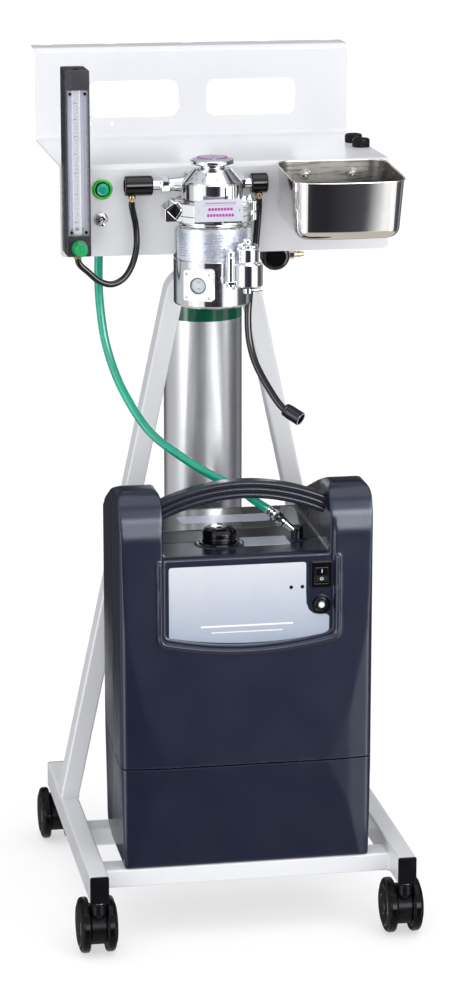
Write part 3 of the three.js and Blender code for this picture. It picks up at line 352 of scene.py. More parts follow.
def wrapped(bm, x, y, radius):
    """A shape drawn flat in front of a vertical axis, rolled round it: its Y 0 lies on the radius."""
    for vert in bm.verts:
        angle = vert.co.x / radius
        reach = radius - vert.co.y
        vert.co = (x + reach * math.sin(angle), y - reach * math.cos(angle), vert.co.z)
    return bm


def paint(bm, chooser, index=1):
    """Gives the faces whose middle passes the test another of the shell's materials."""
    for face in bm.faces:
        if chooser(face.calc_center_median()):
            face.material_index = index
    return bm


def digits(text, size, centre, turn_matrix, thickness=0.12):
    """A generic numeral or switch mark as a thin solid."""
    curve = bpy.data.curves.new("digits", "FONT")
    curve.body = text
    curve.size = size
    curve.align_x = "CENTER"
    curve.align_y = "CENTER"
    curve.extrude = thickness / 2
    holder = bpy.data.objects.new("digits", curve)
    bpy.context.scene.collection.objects.link(holder)
    bm = evaluated(holder)
    bpy.data.objects.remove(holder)
    bmesh.ops.remove_doubles(bm, verts=bm.verts[:], dist=0.001)
    bm.transform(Matrix.Translation(centre) @ turn_matrix)
    return bm


def piece(name, body, shells, replaces=(), sharp=38):
    """Joins shells, each with its material or materials, into one piece that rides on a CAD body."""
    whole = bmesh.new()
    materials = []
    for bm, look in shells:
        looks = look if isinstance(look, tuple) else (look,)
        for entry in looks:
            if entry not in materials:
                materials.append(entry)
        for face in bm.faces:
            face.material_index = materials.index(looks[min(face.material_index, len(looks) - 1)])
            face.smooth = True
        for edge in bm.edges:
            edge.smooth = len(edge.link_faces) != 2 or edge.calc_face_angle() < math.radians(sharp)
        mesh = bpy.data.meshes.new("shell")
        bm.to_mesh(mesh)
        whole.from_mesh(mesh)
        bpy.data.meshes.remove(mesh)
        bm.free()
    whole.transform(TO_FRAME)
    mesh = bpy.data.meshes.new(name)
    whole.to_mesh(mesh)
    whole.free()
    for entry in materials:
        mesh.materials.append(entry)
    obj = bpy.data.objects.new(name, mesh)
    bpy.context.scene.collection.objects.link(obj)
    even = obj.modifiers.new("even_shading", "WEIGHTED_NORMAL")
    even.keep_sharp = True
    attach(obj, body)
    if replaces:
        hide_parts(*replaces)
    return obj


# ---------------------------------------------------------------- materials
class Look:
    """A procedural material: a Principled shader whose inputs are driven by noise in millimetres."""

    def __init__(self, name, colour, roughness, metallic=0.0, **inputs):
        self.material = bpy.data.materials.new(name)
        self.material.use_nodes = True
        self.nodes = self.material.node_tree.nodes
        self.links = self.material.node_tree.links
        self.shader = self.nodes["Principled BSDF"]
        self.colour = self.value(colour)
        self.roughness = roughness
        self.heights = []
        self.shader.inputs["Base Color"].default_value = (*colour, 1)
        self.shader.inputs["Roughness"].default_value = roughness
        self.shader.inputs["Metallic"].default_value = metallic
        for key, value in inputs.items():
            self.shader.inputs[key.replace("_", " ")].default_value = value

    def value(self, colour):
        node = self.nodes.new("ShaderNodeRGB")
        node.outputs[0].default_value = (*colour, 1)
        return node.outputs[0]

    def noise(self, size, stretch=(1, 1, 1), detail=3.0, kind="ShaderNodeTexNoise"):
        """Noise whose features are about size millimetres, drawn out along an axis by a stretch above 1."""
        place = self.nodes.new("ShaderNodeTexCoord")
        mapping = self.nodes.new("ShaderNodeMapping")
        mapping.inputs["Scale"].default_value = [1000 / (size * s) for s in stretch]
        texture = self.nodes.new(kind)
        texture.inputs["Scale"].default_value = 1
        if "Detail" in texture.inputs:
            texture.inputs["Detail"].default_value = detail
        self.links.new(place.outputs["Object"], mapping.inputs[0])
        self.links.new(mapping.outputs[0], texture.inputs["Vector"])
        return texture.outputs["Fac" if "Fac" in texture.outputs else "Distance"]

    def ramp(self, factor, low, high, start=0.3, end=0.7):
        node = self.nodes.new("ShaderNodeMapRange")
        for key, value in (("From Min", start), ("From Max", end), ("To Min", low), ("To Max", high)):
            node.inputs[key].default_value = value
        self.links.new(factor, node.inputs[0])
        return node.outputs[0]

    def mix(self, factor, a, b):
        node = self.nodes.new("ShaderNodeMix")
        node.data_type = "RGBA"
        self.links.new(factor, node.inputs[0])
        self.links.new(a, node.inputs[6])
        self.links.new(b, node.inputs[7])
        return node.outputs[2]

    def use_colour(self, output):
        self.colour = output
        self.links.new(output, self.shader.inputs["Base Color"])
        return self

    def mottle(self, amount, size, stretch=(1, 1, 1)):
        """Light and dark clouds in the colour."""
        node = self.nodes.new("ShaderNodeHueSaturation")
        self.links.new(self.ramp(self.noise(size, stretch), 1 - amount, 1 + amount), node.inputs["Value"])
        self.links.new(self.colour, node.inputs["Color"])
        return self.use_colour(node.outputs[0])

    def haze(self, amount, size, stretch=(1, 1, 1)):
        """Duller and shinier clouds, as handling leaves them."""
        low, high = max(0.01, self.roughness - amount), self.roughness + amount
        self.links.new(self.ramp(self.noise(size, stretch), low, high), self.shader.inputs["Roughness"])
        return self

    def relief(self, height, size, stretch=(1, 1, 1), detail=3.0, kind="ShaderNodeTexNoise"):
        """A fine surface texture, with its height in millimetres."""
        bump = self.nodes.new("ShaderNodeBump")
        bump.inputs["Distance"].default_value = height / 1000
        self.links.new(self.noise(size, stretch, detail, kind), bump.inputs["Height"])
        if self.heights:
            self.links.new(self.heights[-1], bump.inputs["Normal"])
        self.heights.append(bump.outputs[0])
        self.links.new(bump.outputs[0], self.shader.inputs["Normal"])
        return self

    def edges(self, colour, width, strength=0.6):
        """A paler tone along edges: a painted highlight where light would catch them."""
        bevel = self.nodes.new("ShaderNodeBevel")
        bevel.samples = 4
        bevel.inputs["Radius"].default_value = width / 1000
        geometry = self.nodes.new("ShaderNodeNewGeometry")
        compare = self.nodes.new("ShaderNodeVectorMath")
        compare.operation = "DOT_PRODUCT"
        self.links.new(bevel.outputs[0], compare.inputs[0])
        self.links.new(geometry.outputs["Normal"], compare.inputs[1])
        factor = self.ramp(compare.outputs["Value"], strength, 0, 0.88, 0.995)
        return self.use_colour(self.mix(factor, self.colour, self.value(colour)))

    def gradient(self, low, high, z_low, z_high):
        """One colour below, another above, blended by height."""
        place = self.nodes.new("ShaderNodeTexCoord")
        split = self.nodes.new("ShaderNodeSeparateXYZ")
        self.links.new(place.outputs["Object"], split.inputs[0])
        factor = self.ramp(split.outputs["Z"], 0, 1, z_low / 1000, z_high / 1000)
        return self.use_colour(self.mix(factor, self.value(low), self.value(high)))


def powder_coat():
    look = Look("powder_coat", (0.755, 0.76, 0.785), 0.34, Coat_Weight=0.3, Coat_Roughness=0.16)
    return look.mottle(0.008, 90).haze(0.05, 60).relief(0.006, 2.2).material


def moulded_black():
    look = Look("moulded_black", (0.005, 0.005, 0.007), 0.24, Specular_IOR_Level=0.13)
    return look.mottle(0.2, 30).haze(0.07, 22).relief(0.01, 0.9).material


def gloss_black():
    look = Look("gloss_black", (0.003, 0.003, 0.004), 0.1, Specular_IOR_Level=0.45)
    return look.mottle(0.25, 25).haze(0.04, 18).relief(0.004, 6).material


def wheel_tread():
    look = Look("wheel_tread", (0.003, 0.0025, 0.0025), 0.12, Specular_IOR_Level=0.13)
    return look.mottle(0.35, 14).haze(0.09, 9).relief(0.02, 1.6).material


def charcoal_satin():
    look = Look("charcoal_satin", (0.02, 0.02, 0.026), 0.26, Specular_IOR_Level=0.6)
    look.mottle(0.1, 20).haze(0.03, 16).relief(0.008, 0.5)
    # Painted highlight: a pale grey along the flowmeter housing's edges.
    return look.edges((0.55, 0.56, 0.62), 0.5, 0.75).material


def case_plastic():
    look = Look("case_plastic", (0.0085, 0.0105, 0.0255), 0.25, Specular_IOR_Level=0.6,
                Specular_Tint=(0.86, 0.91, 1.0, 1))
    look.mottle(0.03, 60).haze(0.02, 45).relief(0.012, 0.9)
    # Painted highlight: a paler blue along the case's edges.
    return look.edges((0.06, 0.07, 0.125), 2.6, 0.5).material


def case_gloss():
    look = Look("case_gloss", (0.012, 0.012, 0.016), 0.1, Coat_Weight=0.5, Coat_Roughness=0.06)
    return look.mottle(0.15, 40).haze(0.04, 30).relief(0.01, 8).material


def case_rear():
    look = Look("case_rear", (0.009, 0.01, 0.017), 0.3, Specular_IOR_Level=0.3)
    return look.mottle(0.04, 50).haze(0.03, 35).relief(0.01, 0.9).material


def soft_grip():
    look = Look("soft_grip", (0.008, 0.009, 0.02), 0.22, Specular_IOR_Level=0.45)
    return look.mottle(0.1, 20).haze(0.03, 14).relief(0.015, 0.8).material


def black_tubing():
    look = Look("black_tubing", (0.003, 0.003, 0.003), 0.12, Specular_IOR_Level=0.5)
    return look.mottle(0.25, 12).haze(0.03, 10).relief(0.002, 6).material


def green_tubing():
    look = Look("green_tubing", (0.0, 0.33, 0.215), 0.2, Coat_Weight=0.35, Coat_Roughness=0.1,
                Subsurface_Weight=0.15, Subsurface_Scale=0.003)
    return look.mottle(0.12, 18).haze(0.08, 9).relief(0.03, 3).material


def chrome():
    look = Look("chrome", (0.86, 0.87, 0.88), 0.06, metallic=1)
    return look.mottle(0.03, 30).haze(0.035, 20).relief(0.003, 9).material


def turned_chrome():
    look = Look("turned_chrome", (0.82, 0.83, 0.85), 0.11, metallic=1)
    look.mottle(0.03, 25).haze(0.04, 12, (8, 8, 1))
    return look.relief(0.002, 0.35, (60, 60, 1)).material


def satin_plate():
    look = Look("satin_plate", (0.50, 0.51, 0.58), 0.4, metallic=0.3)
    look.mottle(0.05, 14, (6, 1, 1)).haze(0.06, 6, (10, 1, 1))
    return look.relief(0.003, 0.3, (40, 1, 1)).material


def mirror_steel():
    look = Look("mirror_steel", (0.78, 0.77, 0.75), 0.055, metallic=1)
    look.mottle(0.03, 40).haze(0.03, 2.4, (14, 14, 1))
    return look.relief(0.05, 55).relief(0.0015, 0.5, (50, 50, 1)).material


def shaded_satin_steel():
    # Brushed steel for the pan's inside, its colour darkened well below the outside's as painted shade in
    # the hollow.
    look = Look("shaded_satin_steel", (0.31, 0.295, 0.275), 0.3, metallic=1)
    look.mottle(0.08, 22).haze(0.08, 3, (12, 12, 1))
    return look.relief(0.004, 0.5, (40, 40, 1)).material


def plated_steel():
    look = Look("plated_steel", (0.56, 0.55, 0.52), 0.24, metallic=1)
    return look.mottle(0.1, 8).haze(0.08, 5).relief(0.004, 1.5).material


def brass():
    look = Look("brass", (0.72, 0.53, 0.28), 0.2, metallic=1)
    return look.mottle(0.1, 7).haze(0.08, 5).relief(0.004, 1.2).material


def brushed_aluminium():
    look = Look("brushed_aluminium", (0.74, 0.75, 0.77), 0.33, metallic=1)
    look.mottle(0.025, 1.8, (90, 90, 1)).haze(0.03, 2.4, (90, 90, 1))
    return look.relief(0.0012, 0.9, (120, 120, 1)).material


def green_enamel():
    look = Look("green_enamel", (0.0, 0.085, 0.042), 0.16, Coat_Weight=0.35, Coat_Roughness=0.06)
    return look.mottle(0.2, 26).haze(0.05, 14).relief(0.02, 5).material


def knob_green():
    look = Look("knob_green", (0.0, 0.3, 0.09), 0.3, Coat_Weight=0.25)
    return look.mottle(0.1, 6).haze(0.07, 4).relief(0.01, 0.8).material


def lime_ring():
    look = Look("lime_ring", (0.03, 0.52, 0.03), 0.2, Coat_Weight=0.6)
    return look.mottle(0.12, 5).haze(0.06, 4).relief(0.006, 1.5).material


def teal_button():
    look = Look("teal_button", (0.0, 0.42, 0.27), 0.16, Coat_Weight=0.8, Coat_Roughness=0.04)
    return look.mottle(0.14, 5).haze(0.05, 4).relief(0.006, 2).material


def clear_acrylic():
    look = Look("clear_acrylic", (0.86, 0.87, 0.98), 0.04, Alpha=0.14, Coat_Weight=0.3, Coat_Roughness=0.03)
    return look.mottle(0.01, 20).haze(0.02, 15).relief(0.002, 12).material


def glowing_backing_plate():
    # The lavender backing glows a little: painted light standing for light piped through the clear acrylic.
    look = Look("glowing_backing_plate", (0.42, 0.41, 0.54), 0.3, Emission_Color=(0.62, 0.6, 0.8, 1),
                Emission_Strength=0.06)
    look.mottle(0.22, 2.2, (1, 1, 60)).haze(0.06, 4, (1, 1, 20))
    return look.relief(0.004, 0.8, (1, 1, 40)).material


def glowing_scale_white():
    # A white that glows: painted light standing for light piped through the acrylic behind the tube.
    look = Look("glowing_scale_white", (0.86, 0.86, 0.88), 0.3, Emission_Color=(1, 1, 1, 1), Emission_Strength=0.45)
    return look.mottle(0.04, 3, (1, 1, 30)).haze(0.05, 8).relief(0.004, 1.5).material


def white_enamel():
    look = Look("white_enamel", (0.86, 0.86, 0.86), 0.3, Coat_Weight=0.4)
    return look.mottle(0.02, 12).haze(0.05, 8).relief(0.004, 1.5).material


def dark_ink():
    look = Look("dark_ink", (0.03, 0.03, 0.04), 0.4)
    return look.mottle(0.2, 3).haze(0.08, 3).relief(0.002, 0.6).material


def purple_ink():
    look = Look("purple_ink", (0.36, 0.01, 0.3), 0.35)
    return look.mottle(0.15, 4).haze(0.06, 3).relief(0.002, 0.8).material


def control_label():
    look = Look("control_label", (0.6, 0.64, 0.72), 0.4)
    look.gradient((0.30, 0.36, 0.47), (0.62, 0.635, 0.68), 400, 520)
    return look.mottle(0.02, 30).haze(0.04, 20).relief(0.003, 0.4).material


def pale_band():
    look = Look("pale_band", (0.42, 0.45, 0.52), 0.36, metallic=0.2, Coat_Weight=0.1)
    return look.mottle(0.03, 25).haze(0.04, 15).relief(0.003, 2).material


def rule_grey():
    look = Look("rule_grey", (0.2, 0.21, 0.29), 0.4)
    return look.mottle(0.1, 3).haze(0.06, 3).relief(0.002, 0.6).material


def silver_label():
    look = Look("silver_label", (0.74, 0.77, 0.88), 0.27, metallic=0.7)
    return look.mottle(0.04, 2.4, (30, 30, 1)).haze(0.04, 10).relief(0.002, 0.8, (20, 20, 1)).material


POWDER_COAT = powder_coat()
MOULDED_BLACK = moulded_black()
GLOSS_BLACK = gloss_black()
WHEEL_TREAD = wheel_tread()
CHARCOAL = charcoal_satin()
CASE_PLASTIC = case_plastic()
CASE_GLOSS = case_gloss()
CASE_REAR = case_rear()
SOFT_GRIP = soft_grip()
BLACK_TUBING = black_tubing()
GREEN_TUBING = green_tubing()
CHROME = chrome()
TURNED_CHROME = turned_chrome()
SATIN_PLATE = satin_plate()
MIRROR_STEEL = mirror_steel()
SHADED_SATIN_STEEL = shaded_satin_steel()
PLATED_STEEL = plated_steel()
BRASS = brass()
ALUMINIUM = brushed_aluminium()
GREEN_ENAMEL = green_enamel()
KNOB_GREEN = knob_green()
LIME = lime_ring()
TEAL = teal_button()
ACRYLIC = clear_acrylic()
GLOWING_BACKING = glowing_backing_plate()
GLOWING_SCALE_WHITE = glowing_scale_white()
WHITE = white_enamel()
INK = dark_ink()
PURPLE = purple_ink()
LABEL = control_label()
PALE_BAND = pale_band()
SILVER_LABEL = silver_label()
RULE_GREY = rule_grey()


# ---------------------------------------------------------------- cart
TUBE = 25.4
TUBE_DEEP = 38.1
TUBE_CORNER = 3
CROSS_MEMBERS_Y = (38.5, 201)
FRAME_BEND = 25
FRAME_TOP_HALF = 50
SHELF_TOP = 1030
SHEET = 2
PANEL_FRONT_Y = 185
PANEL_BACK_Y = 455
POST_PLATE = 4
BOLT_INSET = 14
CAP_FLANGE = 2.7
CAP_WALL = 2.4
STEM_SETBACK = 20
HOOD_HALF = 10.3
HOOD_RADIUS = 29
HOOD_CUT = 20.5
WHEEL_INSIDE = 11.2


def rectangle_loop(x0, x1, y0, y1, z, flat="z"):
    """The four corners of a level rectangle, or of an upright one whose first letter is its normal."""
    corners = [(x0, y0), (x1, y0), (x1, y1), (x0, y1)]
    return [{"z": (u, v, z), "x": (z, u, v), "y": (u, z, v)}[flat] for u, v in corners]


def floor_frame():
    frame_box = Box("floor_frame")
    low, high = frame_box.lo, frame_box.hi
    shells = []
    for side in (-1, 1):
        x0, x1 = sorted((side * high.x, side * (high.x - TUBE)))
        shells.append((slab([rounded_rectangle(x0, x1, low.z, high.z, TUBE_CORNER)], low.y, high.y, "y",
                            0.3), POWDER_COAT))
        inner = side * (high.x - TUBE)
        for y in CROSS_MEMBERS_Y:
            loop = rectangle_loop(y - TUBE_DEEP / 2, y + TUBE_DEEP / 2, low.z, low.z + TUBE, inner, "x")
            shells.append((bead(loop), POWDER_COAT))
    reach = high.x - TUBE
    for y in CROSS_MEMBERS_Y:
        outline = rounded_rectangle(y - TUBE_DEEP / 2, y + TUBE_DEEP / 2, low.z, low.z + TUBE, TUBE_CORNER)
        shells.append((slab([outline], -reach - 0.5, reach + 0.5, "x", 0.2), POWDER_COAT))
    piece("floor_frame_tubes", "machine", shells, ["floor_frame"])


def a_frame():
    frame_box = Box("a_frame")
    rail_top = Box("floor_frame").hi.z
    foot_x = Box("floor_frame").hi.x - TUBE / 2
    top_z = frame_box.hi.z - TUBE / 2
    slope = (foot_x - FRAME_TOP_HALF) / (top_z - rail_top)
    below = 20
    y = frame_box.mid.y
    corners = [(-foot_x - slope * below, rail_top - below), (-FRAME_TOP_HALF, top_z),
               (FRAME_TOP_HALF, top_z), (foot_x + slope * below, rail_top - below)]
    line = [Vector((x, y, z)) for x, z in soften(corners, FRAME_BEND, steps=8)]
    section = rounded_rectangle(-TUBE_DEEP / 2, TUBE_DEEP / 2, -TUBE / 2, TUBE / 2, TUBE_CORNER)
    tube = sweep(line, section, up=(0, 0, 1))
    floor = rail_top + 0.3
    for vert in tube.verts:
        if vert.co.z < rail_top + 5:
            side = 1 if vert.co.x > 0 else -1
            vert.co.x -= side * slope * (floor - vert.co.z)
            vert.co.z = floor
    shells = [(tube, POWDER_COAT)]
    half_foot = TUBE / 2 * math.hypot(1, slope)
    for side in (-1, 1):
        middle = side * foot_x
        loop = rectangle_loop(middle - half_foot, middle + half_foot, y - TUBE_DEEP / 2, y + TUBE_DEEP / 2,
                              floor)
        shells.append((bead(loop, 1.3), POWDER_COAT))
    piece("a_frame_tube", "machine", shells, ["a_frame"])


def shelf_post():
    post = Box("shelf_post")
    y = Box("a_frame").mid.y
    half, deep = TUBE / 2, TUBE_DEEP / 2
    outline = rounded_rectangle(-half, half, y - deep, y + deep, TUBE_CORNER)
    plate = rounded_rectangle(post.lo.x, post.hi.x, post.lo.y, post.hi.y, 8)
    shells = [(slab([outline], post.lo.z, post.hi.z - 1, "z", 0.3), POWDER_COAT),
              (slab([plate], post.hi.z - POST_PLATE, post.hi.z, "z", 0.6), POWDER_COAT),
              (bead(rectangle_loop(-half, half, y - deep, y + deep, post.lo.z + 0.5), 1.4), POWDER_COAT),
              (bead(rectangle_loop(-half, half, y - deep, y + deep, post.hi.z - POST_PLATE - 0.4), 1.4),
               POWDER_COAT)]
    for x in (post.lo.x + BOLT_INSET, post.hi.x - BOLT_INSET):
        for bolt_y in (post.lo.y + BOLT_INSET, post.hi.y - BOLT_INSET):
            shells.append((turned([(0, 0), (6.2, 0), (6.2, 4), (0, 4)], (x, bolt_y, post.hi.z - 8), "z", 6,
                                  0.4), PLATED_STEEL))
    piece("shelf_post_and_plate", "machine", shells, ["shelf_post"])


def end_cap(end, side):
    node = f"{end}_{side}_end_cap"
    cap = Box(node)
    front = end == "front"
    face = (cap.lo.y, cap.lo.y + CAP_FLANGE) if front else (cap.hi.y - CAP_FLANGE, cap.hi.y)
    plug = (face[1] - 1, cap.hi.y) if front else (cap.lo.y, face[0] + 1)
    outline = rounded_rectangle(cap.lo.x, cap.hi.x, cap.lo.z, cap.hi.z, TUBE_CORNER)
    shells = [(slab([outline], *face, "y", 1.1, 3), MOULDED_BLACK),
              (block((cap.lo.x + CAP_WALL, plug[0], cap.lo.z + CAP_WALL),
                     (cap.hi.x - CAP_WALL, plug[1], cap.hi.z - CAP_WALL), 0.5), MOULDED_BLACK)]
    piece(f"{node}_moulding", "machine", shells, [node])


def caster(end, side):
    corner = f"{end}_{side}"
    wheels = Box(f"{corner}_caster_wheels")
    fork = Box(f"{corner}_caster_fork")
    x, y, z = wheels.mid
    stem_y = y - STEM_SETBACK
    radius = wheels.hi.z - z
    drum = [p for p in circle(y, z, HOOD_RADIUS, 72) if p[1] > z - HOOD_CUT]
    flat = [(y + s * math.sqrt(HOOD_RADIUS ** 2 - HOOD_CUT ** 2), z - HOOD_CUT) for s in (-1, 1)]
    outline = sorted(drum + flat, key=lambda p: math.atan2(p[1] - z, p[0] - y))
    axle_hole = circle(y, z, 5, 24)
    housing = [(0, 50), (5, 51.5), (8.6, 55.5), (HOOD_HALF, 61), (HOOD_HALF, 74), (9, 76),
               (8.8, fork.hi.z - 14.3), (5, fork.hi.z - 14.3), (5, fork.hi.z), (0, fork.hi.z)]
    shells = [(slab([outline, axle_hole], x - HOOD_HALF, x + HOOD_HALF, "x", 1.3, 3), MOULDED_BLACK),
              (turned(housing, (x, stem_y, 0), "z", 48, 1.2), MOULDED_BLACK),
              (turned([(8.9, 76.2), (10.2, 76.2), (10.2, 78.4), (8.9, 78.4)], (x, stem_y, 0), "z", 40, 0.4,
                      True), PLATED_STEEL)]
    piece(f"{corner}_caster_hood", f"{corner}_swivel", shells, [f"{corner}_caster_fork"])

    inner, outer = WHEEL_INSIDE, wheels.hi.x - x
    disc = [(0, inner), (30.5, inner), (31, inner + 1.5), (31, outer - 2.6), (28.4, outer - 2.2),
            (27.6, outer - 0.9), (15, outer - 0.2), (13.6, outer - 1.2), (12.4, outer - 1.2), (11.6, outer),
            (3, outer), (2.2, outer - 1), (0, outer - 1)]
    tread = [(30.2, inner + 0.4), (35.6, inner), (radius, inner + 2), (radius, outer - 7),
             (36.4, outer - 4.6), (34, outer - 3.2), (31.4, outer - 2.4), (30.2, outer - 3)]
    shells = [(rod((x - inner - 0.5, y, z), "x", 2 * inner + 1, 4, steps=24), PLATED_STEEL)]
    for direction in ((1, 0, 0), (-1, 0, 0)):
        shells.append((turned(disc, (x, y, z), direction, 96, 0.9), GLOSS_BLACK))
        shells.append((turned(tread, (x, y, z), direction, 96, 1.4, True), WHEEL_TREAD))
    piece(f"{corner}_twin_wheels", f"{corner}_wheels", shells, [f"{corner}_caster_wheels"])


# ---------------------------------------------------------------- folded shelf panel
class Fold:
    """Maps the flat sheet, with s along it and n its outer side, onto the folded panel's (y, z)."""

    def __init__(self, points, bend):
        self.runs = []
        points = [Vector(p) for p in points]
        s = 0
        start = points[0]
        for i in range(1, len(points)):
            last = i == len(points) - 1
            into = (points[i] - points[i - 1]).normalized()
            end = points[i] if last else points[i] - into * bend
            self.runs.append(("line", s, (end - start).length, start, into, 0))
            s += (end - start).length
            if not last:
                out = (points[i + 1] - points[i]).normalized()
                turn = math.copysign(math.pi / 2, into.x * out.y - into.y * out.x)
                centre = end + Vector((-into.y, into.x)) * bend * math.copysign(1, turn)
                self.runs.append(("bend", s, bend * math.pi / 2, centre, into, turn))
                s += bend * math.pi / 2
                start = points[i] + out * bend
        self.bend = bend
        self.length = s

    def cuts(self, steps=6):
        for kind, s, length, *_ in self.runs:
            if kind == "bend":
                yield from (s + length * k / steps for k in range(steps + 1))

    def place(self, s, n):
        for kind, start, length, anchor, into, turn in self.runs:
            if s <= start + length + 1e-6:
                break
        if kind == "line":
            return anchor + into * (s - start) + Vector((-into.y, into.x)) * n
        angle = turn * (s - start) / length
        side = math.copysign(1, turn)
        outward = Vector((into.y, -into.x)) * side
        direction = Vector((outward.x * math.cos(angle) - outward.y * math.sin(angle),
                            outward.x * math.sin(angle) + outward.y * math.cos(angle)))
        return anchor + direction * (self.bend - side * n)


PANEL_BEND = 6
NOTCHES_X = (200, 110, 0, -110, -200)
NOTCH_DEPTH = 6
FLUSH_HOLE = 11
SELECTOR_HOLE = 6.5
BOLT_HOLE = 3.4
PLUG_HOLE = 5
GRIP_X = (19.5, 148)
GRIP_Z = (1058, 1110)
GRIP_CORNER = 13
BACK_SCREWS_X = (-146, -114)
BACK_SCREWS_Z = 1050
SLOTS = ((4, (-50, 50), (285, 410)), (3, (215,), (244, 384)))


def shelf_panel():
    panel = Box("shelf_panel")
    shelf_z, top_z = SHELF_TOP - SHEET / 2, panel.hi.z - SHEET / 2
    front_y, back_y = panel.lo.y + SHEET / 2, PANEL_BACK_Y + SHEET / 2
    fold = Fold([(front_y, panel.lo.z), (front_y, shelf_z), (back_y, shelf_z), (back_y, top_z),
                 (panel.hi.y, top_z)], PANEL_BEND)
    half = panel.hi.x

    def along_run(index, value):
        """Where a height or depth on one of the panel's four faces lies along the flat sheet."""
        _, start, _, anchor, into, _ = fold.runs[2 * index]
        return start + value - (anchor.y if into.y > 0.5 else anchor.x)

    def hole(index, x, value, radius, steps=28):
        return circle(x, along_run(index, value), radius, steps)

    corners = [(-half, 0, 6), (half, 0, 6), (half, fold.length, 2)]
    for x in NOTCHES_X:
        corners += [(x + 9, fold.length, 1.2), (x + 7, fold.length - NOTCH_DEPTH, 1.5),
                    (x - 7, fold.length - NOTCH_DEPTH, 1.5), (x - 9, fold.length, 1.2)]
    corners.append((-half, fold.length, 2))
    outline = soften([(x, s) for x, s, _ in corners], [radius for _, _, radius in corners], True)
    flush, selector = Box("flush_valve"), Box("selector_valve")
    holes = [hole(0, flush.mid.x, flush.mid.z, FLUSH_HOLE),
             hole(0, selector.mid.x, selector.mid.z, SELECTOR_HOLE)]
    for side in ("left", "right"):
        bolt = Box(f"{side}_basin_bolt")
        holes.append(hole(0, bolt.mid.x, bolt.mid.z, BOLT_HOLE))
    for side in (-1, 1):
        x0, x1 = sorted(side * x for x in GRIP_X)
        holes.append(rounded_rectangle(x0, x1, along_run(2, GRIP_Z[0]), along_run(2, GRIP_Z[1]),
                                       GRIP_CORNER, 8))
    holes += [hole(2, x, BACK_SCREWS_Z, 3) for x in BACK_SCREWS_X]
    for half_slot, slots_x, slots_y in SLOTS:
        for y in slots_y:
            for x in slots_x:
                s = along_run(1, y)
                holes.append(rounded_rectangle(x - half_slot, x + half_slot, s - 1.2, s + 1.2, 1.1, 3))
    for plug in ("front_port_plug", "rear_port_plug"):
        holes.append(hole(1, Box(plug).mid.x, Box(plug).mid.y, PLUG_HOLE))
    sheet = slab([[tuple(p) for p in outline], *holes], -SHEET / 2, SHEET / 2, "z", 0.35)
    for s in fold.cuts():
        cut_plane(sheet, (0, s, 0), (0, 1, 0))
    for vert in sheet.verts:
        place = fold.place(vert.co.y, vert.co.z)
        vert.co = (vert.co.x, place.x, place.y)
    piece("folded_shelf_panel", "machine", [(sheet, POWDER_COAT)], ["shelf_panel"])


def port_plug(node):
    plug = Box(node)
    top = plug.hi.z - SHELF_TOP
    profile = [(0, top - 5.5), (4.6, top - 5.5), (5.2, top - 3), (6.8, top - 0.8), (8, top), (10.4, top),
               (11.6, top - 1.4), (12, top - 3), (12, 0.3), (4.6, 0.3), (4.6, -7.6), (0, -7.6)]
    shell = turned(profile, (plug.mid.x, plug.mid.y, SHELF_TOP), "z", 120, 0.7, flutes=(30, 0.35, 11.9))
    piece(f"{node}_moulding", "machine", [(shell, MOULDED_BLACK)], [node])


# ---------------------------------------------------------------- utility basin
BASIN_TILT = math.radians(4)
BASIN_DEEP = 150
BASIN_HEIGHT = 79
BASIN_BOW = 4.5


def basin():
    pan = Box("basin")
    half_x = (pan.hi.x - pan.lo.x) / 2
    rim, wall, corner, floor_radius = 1.6, 1.2, 25, 15

    def ring(inset, depth):
        draft = depth * math.tan(BASIN_TILT)
        rx, ry = half_x - inset - draft, BASIN_DEEP / 2 - inset - draft
        outline = rounded_rectangle(-rx, rx, -ry, ry, max(corner - inset - draft, 3), 10)
        points = []
        for start, end in zip(outline, outline[1:] + outline[:1]):
            steps = 8 if math.dist(start, end) > 20 else 1
            for k in range(steps):
                x = start[0] + (end[0] - start[0]) * k / steps
                y = start[1] + (end[1] - start[1]) * k / steps
                bow = BASIN_BOW * (x / rx) ** 2 if y < 0 else 0
                points.append(Vector((x, y + bow, -depth)))
        return points

    def wall_rings(inset, bottom):
        radius = floor_radius - inset
        rings = [ring(inset, rim + (bottom - radius - rim) * k / 4) for k in range(4)]
        for k in range(9):
            angle = math.pi / 2 * k / 8
            rings.append(ring(inset + radius * (1 - math.cos(angle)),
                              bottom - radius * (1 - math.sin(angle))))
        return rings

    inside = wall_rings(rim + wall, BASIN_HEIGHT - wall)
    outside = wall_rings(rim, BASIN_HEIGHT)
    roll = [ring(rim * (1 + 0.62 * math.cos(math.radians(a))) - 0.55, rim * (1 - math.sin(math.radians(a))))
            for a in range(10, 200, 20)]
    rings = inside[::-1] + roll + outside
    bm = bmesh.new()
    place = (Matrix.Translation((pan.mid.x, pan.hi.y, SHELF_TOP)) @ Matrix.Rotation(BASIN_TILT, 4, "X")
             @ Matrix.Translation((0, -BASIN_DEEP / 2, 0)))
    skin(bm, [[bm.verts.new(place @ p) for p in points] for points in rings])
    bm.verts.ensure_lookup_table()
    count = len(rings[0])
    inner_verts = set(bm.verts[:count * len(inside)])
    # The inner faces get the brushed steel that is darkened as painted shade inside the pan.
    for face in bm.faces:
        face.material_index = 1 if all(vert in inner_verts for vert in face.verts) else 0
    piece("basin_pan", "machine", [(bm, (MIRROR_STEEL, SHADED_SATIN_STEEL))], ["basin"])


